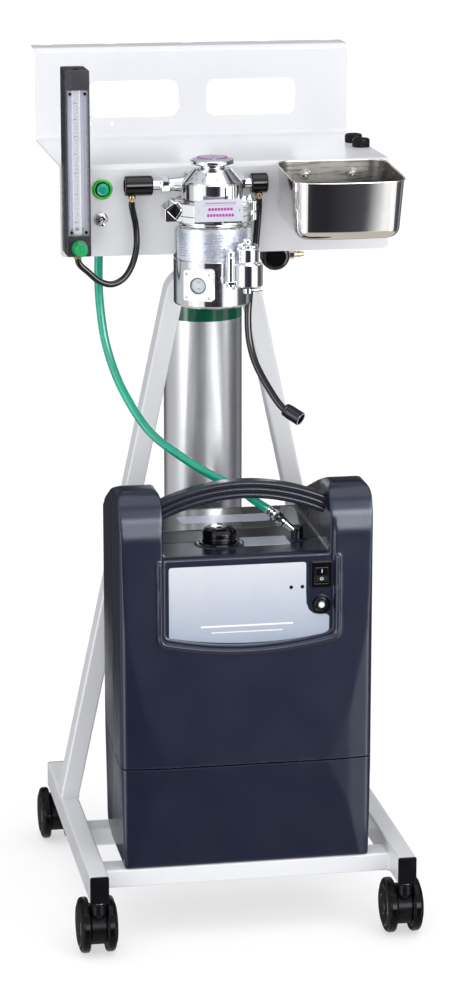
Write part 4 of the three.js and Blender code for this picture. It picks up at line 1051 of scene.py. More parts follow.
def basin_bolt(node):
    bolt = Box(node)
    x, z = bolt.mid.x, bolt.mid.z
    wall_inside = bolt.lo.y + 5
    washer = turned([(3, 0), (7.5, 0), (7.5, 1.2), (3, 1.2)], (x, wall_inside - 1.2, z), "y", 64, 0.3, True)
    head = turned([(0, 0), (2.4, 0), (4.3, 1.2), (4.6, 2.6), (4.6, 3.8), (0, 3.8)], (x, wall_inside - 5, z),
                  "y", 48, 0.8)
    socket = turned([(0, 0), (2.2, 0), (2.2, 2.4), (0, 2.4)], (x, wall_inside - 5.6, z), "y", 6, 0)
    shank = rod((x, wall_inside - 1.4, z), "y", bolt.hi.y - wall_inside, 2.7)
    nut = turned([(2.7, 0), (5.5, 0), (5.5, 4.6), (2.7, 4.6)], (x, PANEL_FRONT_Y + 2.3, z), "y", 6, 0.5,
                 True)
    shells = [(washer, PLATED_STEEL), (carve(head, [socket]), PLATED_STEEL), (shank, PLATED_STEEL),
              (nut, PLATED_STEEL)]
    piece(f"{node}_with_washer", "machine", shells, [node])


# ---------------------------------------------------------------- flowmeter
WINDOW_LOW, WINDOW_HIGH = 944.5, 1134
SCALE_MARKS = 31
METER_WALL = 2.2
METER_BED_Y = 149
METER_FLOOR_Y = 162
METER_TUBE_Y = 151
METER_WELL = 5.8
SCALE_RADIUS = 5.3
WINDOW_SCREW_X = 9.6
TOP_SCREW_RISE = 0.8


def screw(x, y, z, axis, radius, length=1.6, slot_turn=0, look=None):
    """A small pan-head screw whose head stands out along the axis, with a cross recess."""
    head = turned([(0, 0), (radius, 0), (radius, length * 0.5), (radius * 0.6, length), (0, length)],
                  (0, 0, 0), "z", 28, 0.3)
    bars = [block((-radius * 0.55, -radius * 0.12, length * 0.55),
                  (radius * 0.55, radius * 0.12, length * 2), 0),
            block((-radius * 0.12, -radius * 0.55, length * 0.55),
                  (radius * 0.12, radius * 0.55, length * 2), 0)]
    head = carve(moved(head, turn=slot_turn), [moved(bar, turn=slot_turn) for bar in bars])
    head.transform(Matrix.Translation((x, y, z)) @ along(axis))
    return head, look or PLATED_STEEL


def flowmeter():
    meter = Box("flowmeter_housing")
    x = meter.mid.x
    wall, bed_y, tube_y, top = METER_WALL, METER_BED_Y, METER_TUBE_Y, meter.hi.z - TOP_SCREW_RISE
    body = slab([rounded_rectangle(meter.lo.x, meter.hi.x, meter.lo.z, top, 2)], meter.lo.y, meter.hi.y,
                "y", 0.6)
    pocket = block((meter.lo.x + wall, meter.lo.y - 2, WINDOW_LOW),
                   (meter.hi.x - wall, METER_FLOOR_Y, WINDOW_HIGH), 0)
    well = rod((x, tube_y, WINDOW_LOW - 4), "z", WINDOW_HIGH - WINDOW_LOW + 8, METER_WELL)
    bore = rod((x, meter.lo.y - 1, 929), "y", 20, 3.6)
    housing = ease(carve(body, [pocket, well, bore]), 0.35, 60, 1)
    shells = [(housing, CHARCOAL)]
    # The backing and its ridges glow faintly and the scale liner glows brightly: painted light standing for
    # light piped through the acrylic.
    backing = block((meter.lo.x + wall + 0.2, bed_y, WINDOW_LOW + 0.2),
                    (meter.hi.x - wall - 0.2, METER_FLOOR_Y - 0.1, WINDOW_HIGH - 0.2), 0.2)
    trough = rod((x, tube_y, WINDOW_LOW - 1), "z", WINDOW_HIGH - WINDOW_LOW + 2, METER_WELL)
    liner = turned([(SCALE_RADIUS, WINDOW_LOW + 0.6), (5.7, WINDOW_LOW + 0.6), (5.7, WINDOW_HIGH - 0.6),
                    (SCALE_RADIUS, WINDOW_HIGH - 0.6)], (x, tube_y, 0), "z", 48, 0, True)
    front_half = block((x - 8, tube_y - 8, WINDOW_LOW - 1), (x + 8, tube_y, WINDOW_HIGH + 1))
    shells += [(carve(backing, [trough]), GLOWING_BACKING), (carve(liner, [front_half]), GLOWING_SCALE_WHITE)]
    for side in (-1, 1):
        ridge = turned([(0, WINDOW_LOW + 3), (1.7, WINDOW_LOW + 5), (1.7, WINDOW_HIGH - 5),
                        (0, WINDOW_HIGH - 3)], (x + side * WINDOW_SCREW_X, bed_y + 0.5, 0), "z", 24, 0.6)
        shells.append((ridge, GLOWING_BACKING))
        shells.append((block((x + side * 7 - 1.6, bed_y - 2.6, WINDOW_LOW + 0.6),
                             (x + side * 7 + 1.6, bed_y + 0.4, WINDOW_LOW + 8), 0.4), LIME))
    shells.append((block((x - 5, bed_y - 8, WINDOW_LOW + 0.3), (x + 5, bed_y - 5, WINDOW_LOW + 5), 0.5),
                   WHITE))
    shells.append(screw(x, 146, top, "z", 4.4, TOP_SCREW_RISE, 20, MOULDED_BLACK))
    piece("flowmeter_block", "machine", shells, ["flowmeter_housing"])

    marks = []
    face_y = tube_y - SCALE_RADIUS
    span = WINDOW_HIGH - WINDOW_LOW - 34
    for i in range(SCALE_MARKS):
        z = WINDOW_LOW + 16 + span * (i / (SCALE_MARKS - 1)) ** 0.8
        reach = 3.6 if i % 5 == 0 else 2
        marks.append((block((x - reach + 1, face_y - 0.25, z - 0.4), (x + 1, face_y, z + 0.4), 0), INK))
        if i % 5 == 0:
            face = Matrix.Rotation(math.pi / 2, 4, "X")
            marks.append((digits(str(i // 5), 3.4, (x - 3.4, face_y - 0.1, z), face), INK))
    piece("flowmeter_scale", "machine", marks)

    window = Box("flowmeter_window")
    cover = slab([rounded_rectangle(window.lo.x, window.hi.x, window.lo.z, window.hi.z, 1)], window.lo.y,
                 window.hi.y, "y", 0.7, 3)
    piece("flowmeter_clear_window", "machine", [(cover, ACRYLIC)], ["flowmeter_window"])
    screws = []
    for side in (-1, 1):
        screw_x = x + side * WINDOW_SCREW_X
        for z in (window.lo.z + 4.2, window.hi.z - 4.2):
            screws.append(screw(screw_x, window.lo.y, z, (0, -1, 0), 2.1, 0.9, 15 * side, MOULDED_BLACK))
    piece("flowmeter_window_screws", "machine", screws)

    tube = Box("flowmeter_tube")
    glass = turned([(3.4, tube.lo.z), (5.2, tube.lo.z), (5.2, tube.hi.z), (3.4, tube.hi.z)],
                   (x, tube.mid.y, 0), "z", 40, 0.3, True)
    piece("flowmeter_glass_tube", "machine", [(glass, ACRYLIC)], ["flowmeter_tube"])
    ball = Box("flowmeter_float")
    bead_ball = turned(arc(0, ball.mid.z, 2.6, -90, 90, 16), (x, ball.mid.y, 0), "z", 32, 0)
    piece("flowmeter_ball", "flowmeter_float", [(bead_ball, MOULDED_BLACK)], ["flowmeter_float"])


def flowmeter_knob():
    knob = Box("flowmeter_knob")
    start = knob.lo.y
    profile = [(0, 0), (7.6, 0), (8.6, 1), (10.7, 19.2), (10.2, 20), (7.5, 20), (7.5, 23.4),
               (2.8, 23.4), (2.8, knob.hi.y - start), (0, knob.hi.y - start)]
    shell = turned(profile, (knob.mid.x, start, knob.mid.z), "y", 144, 0.7, flutes=(36, 0.12, 9.6))
    piece("flowmeter_needle_knob", "flowmeter_knob", [(shell, KNOB_GREEN)], ["flowmeter_knob"])


# ---------------------------------------------------------------- oxygen flush and supply selector
def flush():
    valve, button = Box("flush_valve"), Box("flush_button")
    x, z = valve.mid.x, button.mid.z
    ring = turned([(9.9, 0.9), (10.6, 0), (12.2, 0), (13.5, 1.5), (13.5, 3.2), (8.8, 3.2), (8.8, 2)],
                  (x, valve.lo.y, z), "y", 72, 0.5, True)
    well = turned([(8.75, 0.4), (9.9, 0.4), (9.9, 2), (10.1, 3), (10.1, 21), (8.75, 21)],
                  (x, valve.lo.y + 0.4, z), "y", 56, 0.3, True)
    body = block((x - 13, 196, z - 13), (x + 13, valve.hi.y, z + 13), 1.5)
    nut = turned([(10.3, 0), (13, 0), (13, 5), (10.3, 5)], (x, PANEL_FRONT_Y + 2.4, z), "y", 6, 0.6, True)
    barb = turned([(0, 0), (3.4, 0), (2.6, 4), (3.4, 4.2), (2.6, 8), (3.4, 8.2), (3, 13), (0, 13)],
                  (x, valve.hi.y - 10, z - 13), (0, 0, -1), 24, 0.3)
    shells = [(ring, LIME), (well, GLOSS_BLACK), (body, MOULDED_BLACK), (nut, PLATED_STEEL), (barb, BRASS)]
    piece("flush_bezel_and_valve", "machine", shells, ["flush_valve"])
    cap = turned([(0, 0.2), (5, 0.2), (5.8, 0.9), (7.2, 0.2), (8.2, 1.2), (8.2, 10), (3, 10), (3, 18.6),
                  (0, 18.6)], (x, button.lo.y, z), "y", 64, 0.6)
    piece("flush_push_button", "flush_button", [(cap, TEAL)], ["flush_button"])


LEVER_PIVOT_Y = 181
LEVER_DROP = math.radians(10)


def selector():
    valve = Box("selector_valve")
    x, z = valve.mid.x, valve.mid.z
    nut = turned([(4.9, 0), (7.2, 0), (8, 0.8), (8, 2.9), (4.9, 2.9)], (x, PANEL_FRONT_Y - 3.2, z), "y", 6,
                 0.5, True)
    washer = turned([(6, 0), (9.4, 0), (9.4, 0.6), (6, 0.6)], (x, PANEL_FRONT_Y - 0.9, z), "y", 48, 0.15,
                    True)
    bush = turned([(4.9, 0)] + [(6 if i % 2 else 5.6, 0.4 + i * 0.45) for i in range(13)]
                  + [(6, 14), (4.9, 14)], (x, PANEL_FRONT_Y - 9, z), "y", 40, 0.15, True)
    case = block((x - 12, PANEL_FRONT_Y + 2.3, z - 14), (x + 12, valve.hi.y, z + 14), 1.2)
    shells = [(nut, CHROME), (washer, PLATED_STEEL), (bush, CHROME), (case, MOULDED_BLACK)]
    piece("selector_bush_and_valve", "machine", shells, ["selector_valve"])
    pivot = Vector((x, LEVER_PIVOT_Y, z))
    direction = Vector((0, -math.cos(LEVER_DROP), -math.sin(LEVER_DROP)))
    bat = turned([(0, -3.1), (2.2, -2.2), (3.1, 0), (2.2, 2.2), (1.75, 3.2), (1.9, 8), (2.9, 20), (2.8, 23),
                  (1.7, 24.7), (0, 24.9)], pivot, direction, 40, 1.2)
    piece("selector_bat_lever", "selector_lever", [(bat, CHROME)], ["selector_lever"])


# ---------------------------------------------------------------- vaporizer
BODY_RADIUS = 51
BODY_SHOULDER = 963
COLLAR_TOP = 992
COLLAR_SLABS = ((966.4, 974.4), (974.9, 990.6))
BAND_LOW, BAND_HIGH = 917, 957
NAME_PLATE_HALF = 32
NAME_PLATE_LOW, NAME_PLATE_HIGH = 969, 998
PLATE_THICK = 1.5
# Each row of dashes: its height, the number of dashes, their width and height, and their spacing.
DASH_ROWS = ((993.4, 15, 1.9, 1.5, 2.7), (985.4, 8, 3.1, 3.6, 4.1), (977.6, 9, 3.0, 3.6, 4.0))
PORT_START = 22
SIGHT_GLASS_DEGREES = -28
SIGHT_GLASS_Z = 886


def round_vaporizer(distance, degrees):
    """A point at a distance from the vaporizer's axis, turned from straight ahead towards +X."""
    dial = Box("vaporizer_dial")
    angle = math.radians(degrees)
    return dial.mid.x + distance * math.sin(angle), dial.mid.y - distance * math.cos(angle)


def gas_port(side, hexagon_x, x, y, z):
    """A taper, a hexagon and a spigot on one side of the vaporizer."""
    direction = (side, 0, 0)
    start = x + side * PORT_START
    reach = abs(hexagon_x - x) - PORT_START
    taper = turned([(0, 0), (12, 0), (12, 3), (9.4, reach - 6), (9.4, reach), (0, reach)], (start, y, z),
                   direction, 56, 0.8)
    nut = turned([(0, 0), (11, 0), (11.6, 0.8), (11.6, 9.2), (11, 10), (0, 10)], (hexagon_x, y, z),
                 direction, 6, 0.5)
    spigot = turned([(0, 9), (8.9, 9), (8.9, 11.5), (7.6, 12), (7.6, 28), (0, 28)], (hexagon_x, y, z),
                    direction, 40, 0.5)
    return [(taper, CHROME), (nut, CHROME), (spigot, CHROME)]


def vaporizer():
    body, dial = Box("vaporizer_body"), Box("vaporizer_dial")
    x, y = dial.mid.x, dial.mid.y
    radius, low, shoulder, collar = BODY_RADIUS, body.lo.z, BODY_SHOULDER, COLLAR_TOP
    core = turned([(0, low), (46, low), (47, low + 0.8), (50.2, low + 2.2), (radius, low + 4),
                   (radius, 914.6), (radius - 0.5, 915.4), (radius - 0.5, 915.9), (radius, 916.6),
                   (radius, shoulder - 9), (49.6, shoulder - 6), (46, shoulder - 3), (46, shoulder - 0.8),
                   (49.2, shoulder), (50, shoulder + 0.8), (50, collar - 10), (49.4, collar - 9.4),
                   (49.4, collar - 8.6), (50, collar - 8), (50, collar - 2.4), (48, collar), (14, collar),
                   (14, 999), (0, 999)], (x, y, 0), "z", 144, 0.5)
    band = sliced(slab([rounded_rectangle(-66, 56, BAND_LOW, BAND_HIGH, 2)], -0.16, 0.3, "y", 0.05, 0), 4)
    shells = [(core, TURNED_CHROME), (wrapped(band, x, y, radius), SILVER_LABEL)]
    for i in range(9):
        for left, right in ((-60, -44 - i % 3), (-20 + 2 * (i % 3), 14 - 4 * (i % 4))):
            rule_z = BAND_HIGH - 7 - 3.5 * i
            rule = slab([rounded_rectangle(left, right, rule_z, rule_z + 1, 0.4, 2)], -0.3, -0.1, "y", 0.02,
                        0)
            shells.append((wrapped(sliced(rule, 4), x, y, radius), RULE_GREY))
    collar_outline = [(x - 32, y - 49.6), (x + 32, y - 49.6), (x + 45, y - 36), (x + 50.6, y - 18),
                      (x + 50.6, y + 26), (x - 50.6, y + 26), (x - 50.6, y - 18), (x - 45, y - 36)]
    for low_z, high_z in COLLAR_SLABS:
        shells.append((slab([soften(collar_outline, 1.2, True)], low_z, high_z, "z", 0.5, 3), CHROME))

    plate_y = y - 50 - 0.3
    face_y = plate_y - PLATE_THICK
    plate_outline = rounded_rectangle(x - NAME_PLATE_HALF, x + NAME_PLATE_HALF, NAME_PLATE_LOW,
                                      NAME_PLATE_HIGH, 1.5)
    plate = slab([plate_outline], face_y, plate_y, "y", 0.35)
    holder = block((x - 29, plate_y - 0.1, 971), (x + 29, plate_y + 12, 990), 0.6)
    shells += [(plate, SATIN_PLATE), (holder, CHROME)]
    for side in (-1, 1):
        shells.append(screw(x + side * 27, face_y, 984, (0, -1, 0), 1.5, 0.7, 20 * side))
    for z, count, wide, tall, pitch in DASH_ROWS:
        for i in range(count):
            dash_x = x + 2 + pitch * (i - (count - 1) / 2)
            shells.append((block((dash_x - wide / 2, face_y - 0.12, z - tall / 2),
                                 (dash_x + wide / 2, face_y + 0.05, z + tall / 2), 0.05, 1), PURPLE))
    shells.append((block((x - 20, face_y - 0.1, 990.6), (x + 23, face_y + 0.05, 991), 0.03, 1), PURPLE))

    lug = slab([soften([(-96, 965), (-66, 965), (-66, 991), (-84, 991), (-96, 982)], 3, True)], 96, 134,
               "y", 1.2, 3)
    recess = moved(block((-8, 92, -8), (8, 99.5, 8), 0.8), (-82, 0, 979), 45, "y")
    shells.append((ease(carve(lug, [recess]), 0.4, 60, 1), CHROME))
    pad = moved(block((-6.4, 98.2, -6.4), (6.4, 99.8, 6.4), 0.5), (-82, 0, 979), 45, "y")
    shells.append((pad, MOULDED_BLACK))
    boss = turned([(0, 966), (9, 966), (9, 975), (8.2, 976), (8.2, 978), (9, 979), (9, 991), (6, 992.5),
                   (1, 999), (0, 999)], (16, 96, 0), "z", 96, 0.6, flutes=(24, 0.4, 8.9))
    shells.append((boss, CHROME))
    shells.append((block((x - 24, 157, 930), (x + 24, 176, 1016), 1.6), CHROME))
    port_z = Box("inlet_elbow").hi.z - ELBOW_RADIUS
    port_y = Box("inlet_elbow").mid.y
    shells += gas_port(-1, -80, x, port_y, port_z) + gas_port(1, 12, x, port_y, port_z)
    piece("vaporizer_body_and_ports", "machine", shells, ["vaporizer_body"], 32)

    bracket = Box("vaporizer_bracket")
    shells = [(block((bracket.lo.x + 7, bracket.lo.y, bracket.lo.z + 6),
                     (bracket.hi.x - 7, bracket.hi.y, bracket.hi.z - 8), 0.8), PLATED_STEEL),
              (block((bracket.lo.x, bracket.hi.y - 3.7, bracket.lo.z),
                     (bracket.hi.x, bracket.hi.y, bracket.hi.z), 1), PLATED_STEEL)]
    piece("vaporizer_mounting_bracket", "machine", shells, ["vaporizer_bracket"])


def vaporizer_dial():
    dial = Box("vaporizer_dial")
    x, y, low, top = dial.mid.x, dial.mid.y, dial.lo.z, dial.hi.z
    cone_low, cone_high = (38.5, low + 23.7), (24, low + 39.7)
    wheel = turned([(15, low), (39, low), (40, low + 1), (40, low + 21), (39.4, low + 21.8),
                    (39.4, low + 22.4), cone_low, cone_high, (17.5, low + 41.2), (17.5, low + 44.7),
                    (26.4, low + 45), (29.2, low + 46.7), (29.2, low + 50.2), (28, low + 51.4),
                    (26.6, low + 51.3), (26, low + 50.6), (0, low + 50.6), (0, low + 9.2), (15, low + 9.2)],
                   (x, y, 0), "z", 144, 0.45, True)
    shells = [(wheel, CHROME)]
    slope = math.atan2(cone_high[1] - cone_low[1], cone_low[0] - cone_high[0])

    def on_cone(bm, angle, share):
        """Lays a flat shape, drawn face up with its foot towards -Y, on the cone."""
        radius = cone_low[0] + (cone_high[0] - cone_low[0]) * share
        height = cone_low[1] + (cone_high[1] - cone_low[1]) * share
        bm.transform(Matrix.Translation((x, y, 0)) @ Matrix.Rotation(math.radians(angle), 4, "Z")
                     @ Matrix.Translation((0, -radius, height)) @ Matrix.Rotation(slope, 4, "X"))
        return bm

    for i in range(21):
        angle = -150 + 15 * i
        long_mark = i % 2 == 0
        tick = block((-0.35, -3.4 if long_mark else -1.8, -0.1), (0.35, 2.4 if long_mark else 1.4, 0.16), 0)
        shells.append((on_cone(tick, angle, 0.3), INK))
        if long_mark:
            shells.append((on_cone(digits(str(i // 4), 4.6, (0, 0, 0.08), Matrix.Identity(4), 0.2),
                                   angle + 4, 0.68), INK))
    index = block((x + 11, y - 40.15, low + 3), (x + 12.2, y - 37, low + 19), 0.1, 1)
    shells.append((index, INK))

    def dome_z(radius):
        return low + 51 + (top - low - 51) * (1 - (radius / 26) ** 2)

    rings = [(radius, dome_z(radius)) for radius in (26, 22, 18, 14, 10, 6, 3, 0)]
    shells.append((turned([(0, low + 50), (25.8, low + 50), *rings], (x, y, 0), "z", 96, 0), SATIN_PLATE))
    for i in range(26):
        if i % 13 in (0, 6):
            continue
        angle = 360 * i / 26
        dash = block((-1.5, -20.4, dome_z(18.5) - 0.2), (1.5, -16.6, dome_z(18.5) + 0.45), 0.1, 1)
        shells.append((moved(dash, (x, y, 0), angle), PURPLE))
    for angle in (0, 180):
        shells.append((moved(screw(0, -11, dome_z(11) - 0.2, "z", 1.5, 0.5, 30)[0], (x, y, 0), angle),
                       PLATED_STEEL))
    piece("vaporizer_control_dial", "vaporizer_dial", shells, ["vaporizer_dial"], 32)


def sight_glass():
    x, y = round_vaporizer(BODY_RADIUS + 1, SIGHT_GLASS_DEGREES)
    plate = slab([rounded_rectangle(-20, 20, -20, 20, 3)], -8, 3, "y", 1.2, 3)
    window = rod((0, -8.6, 0), "y", 5.4, 10.8, soft=0.3, steps=72)
    # A dark green ring lining the window's bore: painted shade round the edge of the glass, tinted green.
    liner = turned([(9.7, -3.4), (10.7, -3.4), (10.7, -8), (10.2, -8.3), (9.7, -7.8)], (0, 0, 0), "y", 72,
                   0.2, True)
    shells = [(ease(carve(plate, [window]), 0.5, 60, 2), WHITE), (liner, GREEN_ENAMEL)]
    shells.append((rod((0, -4.4, 0), "y", 1, 9.8, soft=0.1), LABEL))
    for z in (-4, 4):
        shells.append((block((-2.6, -4.6, z - 0.4), (2.6, -4.35, z + 0.4), 0), INK))
    shells.append((rod((0, -6.2, 0), "y", 1, 9.6, soft=0.4, steps=72), ACRYLIC))
    for side_x in (-1, 1):
        for side_z in (-1, 1):
            shells.append(screw(side_x * 15.4, -8, side_z * 15.4, (0, -1, 0), 1.9, 0.7,
                                25 * side_x + 10 * side_z))
    neck = slab([rounded_rectangle(-14, 14, -15, 15, 3)], 2.5, 8, "y", 0.4)
    shells.append((neck, TURNED_CHROME))
    for bm, _ in shells:
        moved(bm, (x, y, SIGHT_GLASS_Z), SIGHT_GLASS_DEGREES)
    piece("vaporizer_sight_glass", "machine", shells, ["sight_glass"])


def filler():
    cap_box, drain_box = Box("filler_cap"), Box("drain_screw")
    x, y = cap_box.mid.x, cap_box.mid.y
    tank = turned([(0, 876), (5.4, 876), (6, 876.6), (6, 883.6), (8, 884.5), (17, 884.5), (19.4, 887),
                   (19.4, 914.6), (18, 916.5), (15.6, 916.5), (15, 917.3), (14.2, 918.4), (14.2, 934.6),
                   (13, 936), (0, 936)], (x, y, 0), "z", 96, 0.6)
    web = moved(block((-13, 0, 887), (13, 22, 913), 2), (x, y, 0), 31)
    pillar = turned([(0, 886), (6, 886), (6, 924), (5.2, 925), (5.2, 927), (6, 928), (6, 931), (3.6, 934),
                     (0, 934)], (x - 23, y - 3, 0), "z", 56, 0.7)
    foot = turned([(6, 889), (7.4, 889), (7.4, 893), (6, 893)], (x - 23, y - 3, 0), "z", 6, 0.4, True)
    shells = [(tank, CHROME), (web, CHROME), (pillar, CHROME), (foot, CHROME)]
    piece("filler_tank", "machine", shells, ["filler_block"], 32)

    cap = turned([(0, 927.5), (3, 927.5), (3, 936.3), (12.4, 936.3), (13.2, 937), (13.2, 939.4),
                  (8.6, 941.6), (6, 941.8), (5.5, 942.6), (5.5, 945.6), (3, 948), (0, 948)], (x, y, 0), "z",
                 120, 0.4, flutes=(24, 0.35, 13))
    piece("filler_screw_cap", "filler_cap", [(cap, CHROME)], ["filler_cap"])

    drain_x, z = drain_box.lo.x, drain_box.mid.z
    shank = rod((drain_x, y, z), "x", 8, 1.5)
    lever = turned([(0, 5), (2.2, 5), (2.6, 5.6), (2.6, 12), (1.9, 13), (2.4, 16.6),
                    (1.6, drain_box.hi.x - drain_x), (0, drain_box.hi.x - drain_x)], (drain_x, y, z), "x",
                   40, 0.5)
    piece("filler_drain_screw", "drain_screw", [(shank, CHROME), (lever, CHROME)], ["drain_screw"])


ELBOW_RADIUS = 13.2
INLET_BARB_X = -129
OUTLET_BARB_X = 41


def elbow(node, socket_side):
    """A push-on elbow: the closed end is rounded and the hose barb points down."""
    part = Box(node)
    z = part.hi.z - ELBOW_RADIUS
    y = part.mid.y
    length = part.hi.x - part.lo.x
    start = part.lo.x if socket_side > 0 else part.hi.x
    barb_x = INLET_BARB_X if socket_side > 0 else OUTLET_BARB_X
    body = turned([(0, 0), (12, 0), (ELBOW_RADIUS, 1.6), (ELBOW_RADIUS, length - 1.2), (12.2, length),
                   (8.4, length), (8.4, length - 8), (0, length - 8)], (start, y, z), (socket_side, 0, 0),
                  72, 0.9)
    barb = turned([(0, 10), (2.9, 10), (4.4, 10.4), (3.4, 13), (5.4, 13.4), (5.4, 17), (2.9, 18), (2.9, 26),
                   (0, 26)], (barb_x, y, z), (0, 0, -1), 40, 0.4)
    piece(f"{node}_fitting", "machine", [(body, GLOSS_BLACK), (barb, BRASS)], [node])


# ---------------------------------------------------------------- hoses
METER_HOSE_RADIUS = 4.25
FRESH_HOSE_RADIUS = 4.75
OXYGEN_HOSE_RADIUS = 5.75
CONNECTOR_START = Vector((68, 116, 706))
CONNECTOR_AIM = Vector((0.7, -0.6, -0.42)).normalized()


def small_hoses():
    barb_low = Box("inlet_elbow").lo.z - 1
    port_y = Box("inlet_elbow").mid.y
    meter = Box("flowmeter_housing")
    tube_y = Box("flowmeter_tube").mid.y
    meter_x = meter.mid.x
    points = [(INLET_BARB_X, port_y, barb_low + 6), (INLET_BARB_X, port_y, barb_low), (-124, port_y, 950),
              (-123.5, 165, 924), (-129.5, 163, 900), (-141.5, 160, 882), (-158, 157, 875),
              (-175, 154, 880), (-190, 152, 893), (-202, tube_y, 905), (meter_x, tube_y, meter.lo.z - 1.5)]
    ferrule = turned([(4.3, 0), (5.6, 0), (5.6, 5), (4.3, 5)], (meter_x, tube_y, meter.lo.z - 5.4), "z", 6,
                     0.4, True)
    piece("flowmeter_gas_hose", "machine", [(hose(points, METER_HOSE_RADIUS), BLACK_TUBING),
                                            (ferrule, BRASS)], ["flowmeter_hose"])

    cuff, aim = CONNECTOR_START, CONNECTOR_AIM
    points = [(OUTLET_BARB_X, port_y, barb_low + 6), (OUTLET_BARB_X, port_y, barb_low), (40.5, 168, 960),
              (35.5, 168, 904), (28, 165, 850), (25.5, 160, 818), (27, 155, 791), (33, 147, 765),
              (46, 135, 737), cuff - aim * 5, cuff + aim * 8]
    piece("fresh_gas_line", "machine", [(hose(points, FRESH_HOSE_RADIUS), BLACK_TUBING)],
          ["fresh_gas_hose"])
    profile = [(4.8, 0), (8.2, 0), (9.1, 1.5), (9.1, 3), (8.6, 3.6), (8.6, 4.6), (9.5, 5.4), (9.5, 25.8),
               (8.8, 27), (8, 27), (7.6, 26.2), (7.6, 12), (4.8, 12)]
    sleeve = turned(profile, cuff, aim, 64, 0.4, True)
    # The rim is in the faintly glowing backing material: a little painted light.
    rim = turned([(7.7, 26.2), (9.0, 26.2), (9.0, 27.05), (7.7, 27.05)], cuff, aim, 64, 0.3, True)
    piece("fresh_gas_connector", "machine", [(sleeve, SOFT_GRIP), (rim, GLOWING_BACKING)], ["hose_end_connector"])


COUPLING_START = Vector((38, 90, 577.5))
COUPLING_AIM = Vector((0.765, 0, -0.644)).normalized()


def oxygen_line():
    points = [(-168, 207, 946), (-168, 207, 940), (-168.8, 207, 902), (-169, 206, 858), (-163.5, 200, 799),
              (-154, 190, 759), (-139, 175, 721), (-110, 150, 675), (-72, 128, 645), (-34, 108, 622),
              (0, 99, 605), (24, 93, 587), (35.5, 90, 579.2), COUPLING_START + COUPLING_AIM * 3]
    piece("oxygen_supply_line", "machine", [(hose(points, OXYGEN_HOSE_RADIUS, 10, 24), GREEN_TUBING)],
          ["oxygen_hose"])

    ferrule = turned([(5.8, 0), (6.4, 0.4), (6.4, 3), (5.2, 3.4), (5.2, 4.8), (6.4, 5.2), (6.4, 8),
                      (5.2, 8.4), (5.2, 9.8), (6.4, 10.2), (6.4, 12.4), (0, 12.4), (0, 1), (5.8, 1)],
                     COUPLING_START, COUPLING_AIM, 48, 0.25, True)
    nut = turned([(0, 12), (7, 12), (7.6, 12.8), (7.6, 25.2), (7, 26), (0, 26)], COUPLING_START,
                 COUPLING_AIM, 6, 0.5)
    grooves = [turned([(4, low), (wide, low), (wide, high), (4, high)], COUPLING_START, COUPLING_AIM, 48,
                      0.3, True) for low, high,
               wide in ((3.6, 4.6, 5.9), (8.6, 9.6, 5.9), (17.6, 20.4, 7.5), (29.4, 31.6, 5.8))]
    swivel = turned([(0, 25), (6.2, 25), (6.2, 29), (5, 29.6), (5, 31), (6.2, 31.6), (6.2, 34), (4.6, 35),
                     (4.6, 48), (0, 48)], COUPLING_START, COUPLING_AIM, 48, 0.3)
    shells = [(ferrule, CHROME), (nut, CHROME), (swivel, CHROME)] + [(groove, GLOSS_BLACK)
                                                                     for groove in grooves]
    piece("oxygen_quick_coupling", "machine", shells, ["hose_coupling"], 32)

    outlet = Box("oxygen_outlet")
    deck, top = deck_z(outlet.mid.y), outlet.hi.z - 2
    post = turned([(0, 515), (4.5, 515), (4.5, deck + 0.6), (10, deck + 0.6), (10, deck + 2.4),
                   (8.5, deck + 2.4), (8.5, top - 2.6), (7.4, top), (4.8, top), (4.4, top - 1.4),
                   (0, top - 1.4)], (outlet.mid.x, outlet.mid.y, 0), "z", 72, 0.5)
    piece("oxygen_outlet_post", "machine", [(post, GLOSS_BLACK)], ["oxygen_outlet"])


# ---------------------------------------------------------------- oxygen cylinder, yoke and regulator
CYLINDER_SHOULDER = 805
GREEN_FROM = 783
VALVE_TOP = 930
YOKE_Z = 900
YOKE_HALF_HEIGHT = 16
YOKE_HALF_DEPTH = 34
MANIFOLD_Y = 348
GAUGE_Y = 301.6


def cylinder():
    tank = Box("oxygen_cylinder")
    x, y = tank.mid.x, tank.mid.y
    radius, low, neck = tank.hi.x - x, tank.lo.z, tank.hi.z
    body = [(0, low + 6), (30, low), (45, low), (radius, low + 12), (radius, GREEN_FROM)]
    dome = [(radius, GREEN_FROM), (radius, CYLINDER_SHOULDER - 4), (55, CYLINDER_SHOULDER + 8),
            (53, CYLINDER_SHOULDER + 17), (45, CYLINDER_SHOULDER + 32), (32, CYLINDER_SHOULDER + 43),
            (20, CYLINDER_SHOULDER + 48), (17, neck), (0, neck)]
    wall = turned(body + dome[1:], (x, y, 0), "z", 144, 9)
    cut_plane(wall, (0, 0, GREEN_FROM), (0, 0, 1))
    paint(wall, lambda middle: middle.z > GREEN_FROM)
    piece("oxygen_cylinder_shell", "machine", [(wall, (ALUMINIUM, GREEN_ENAMEL))], ["oxygen_cylinder"],
          60)

    valve = Box("cylinder_valve")
    shells = [(turned([(0, valve.lo.z), (14, valve.lo.z), (14, valve.lo.z + 6), (12, valve.lo.z + 8),
                       (0, valve.lo.z + 8)], (x, y, 0), "z", 8, 0.6), BRASS),
              (ease(carve(block((x - 12, y - 13, valve.lo.z + 6), (x + 12, y + 13, VALVE_TOP), 1.4),
                          [rod((x, y + 9, YOKE_Z), "y", 6, 4.2)]), 0.4, 60, 1), BRASS),
              (rod((x, y, VALVE_TOP - 1), "z", valve.hi.z - VALVE_TOP + 1, 5, soft=0.8, steps=8),
               PLATED_STEEL)]
    for z in (YOKE_Z - YOKE_HALF_HEIGHT, YOKE_Z + YOKE_HALF_HEIGHT):
        shells.append((rod((x, y - 13.4, z), "y", 3, 2.6, steps=24), PLATED_STEEL))
    piece("cylinder_valve_body", "machine", shells, ["cylinder_valve"])


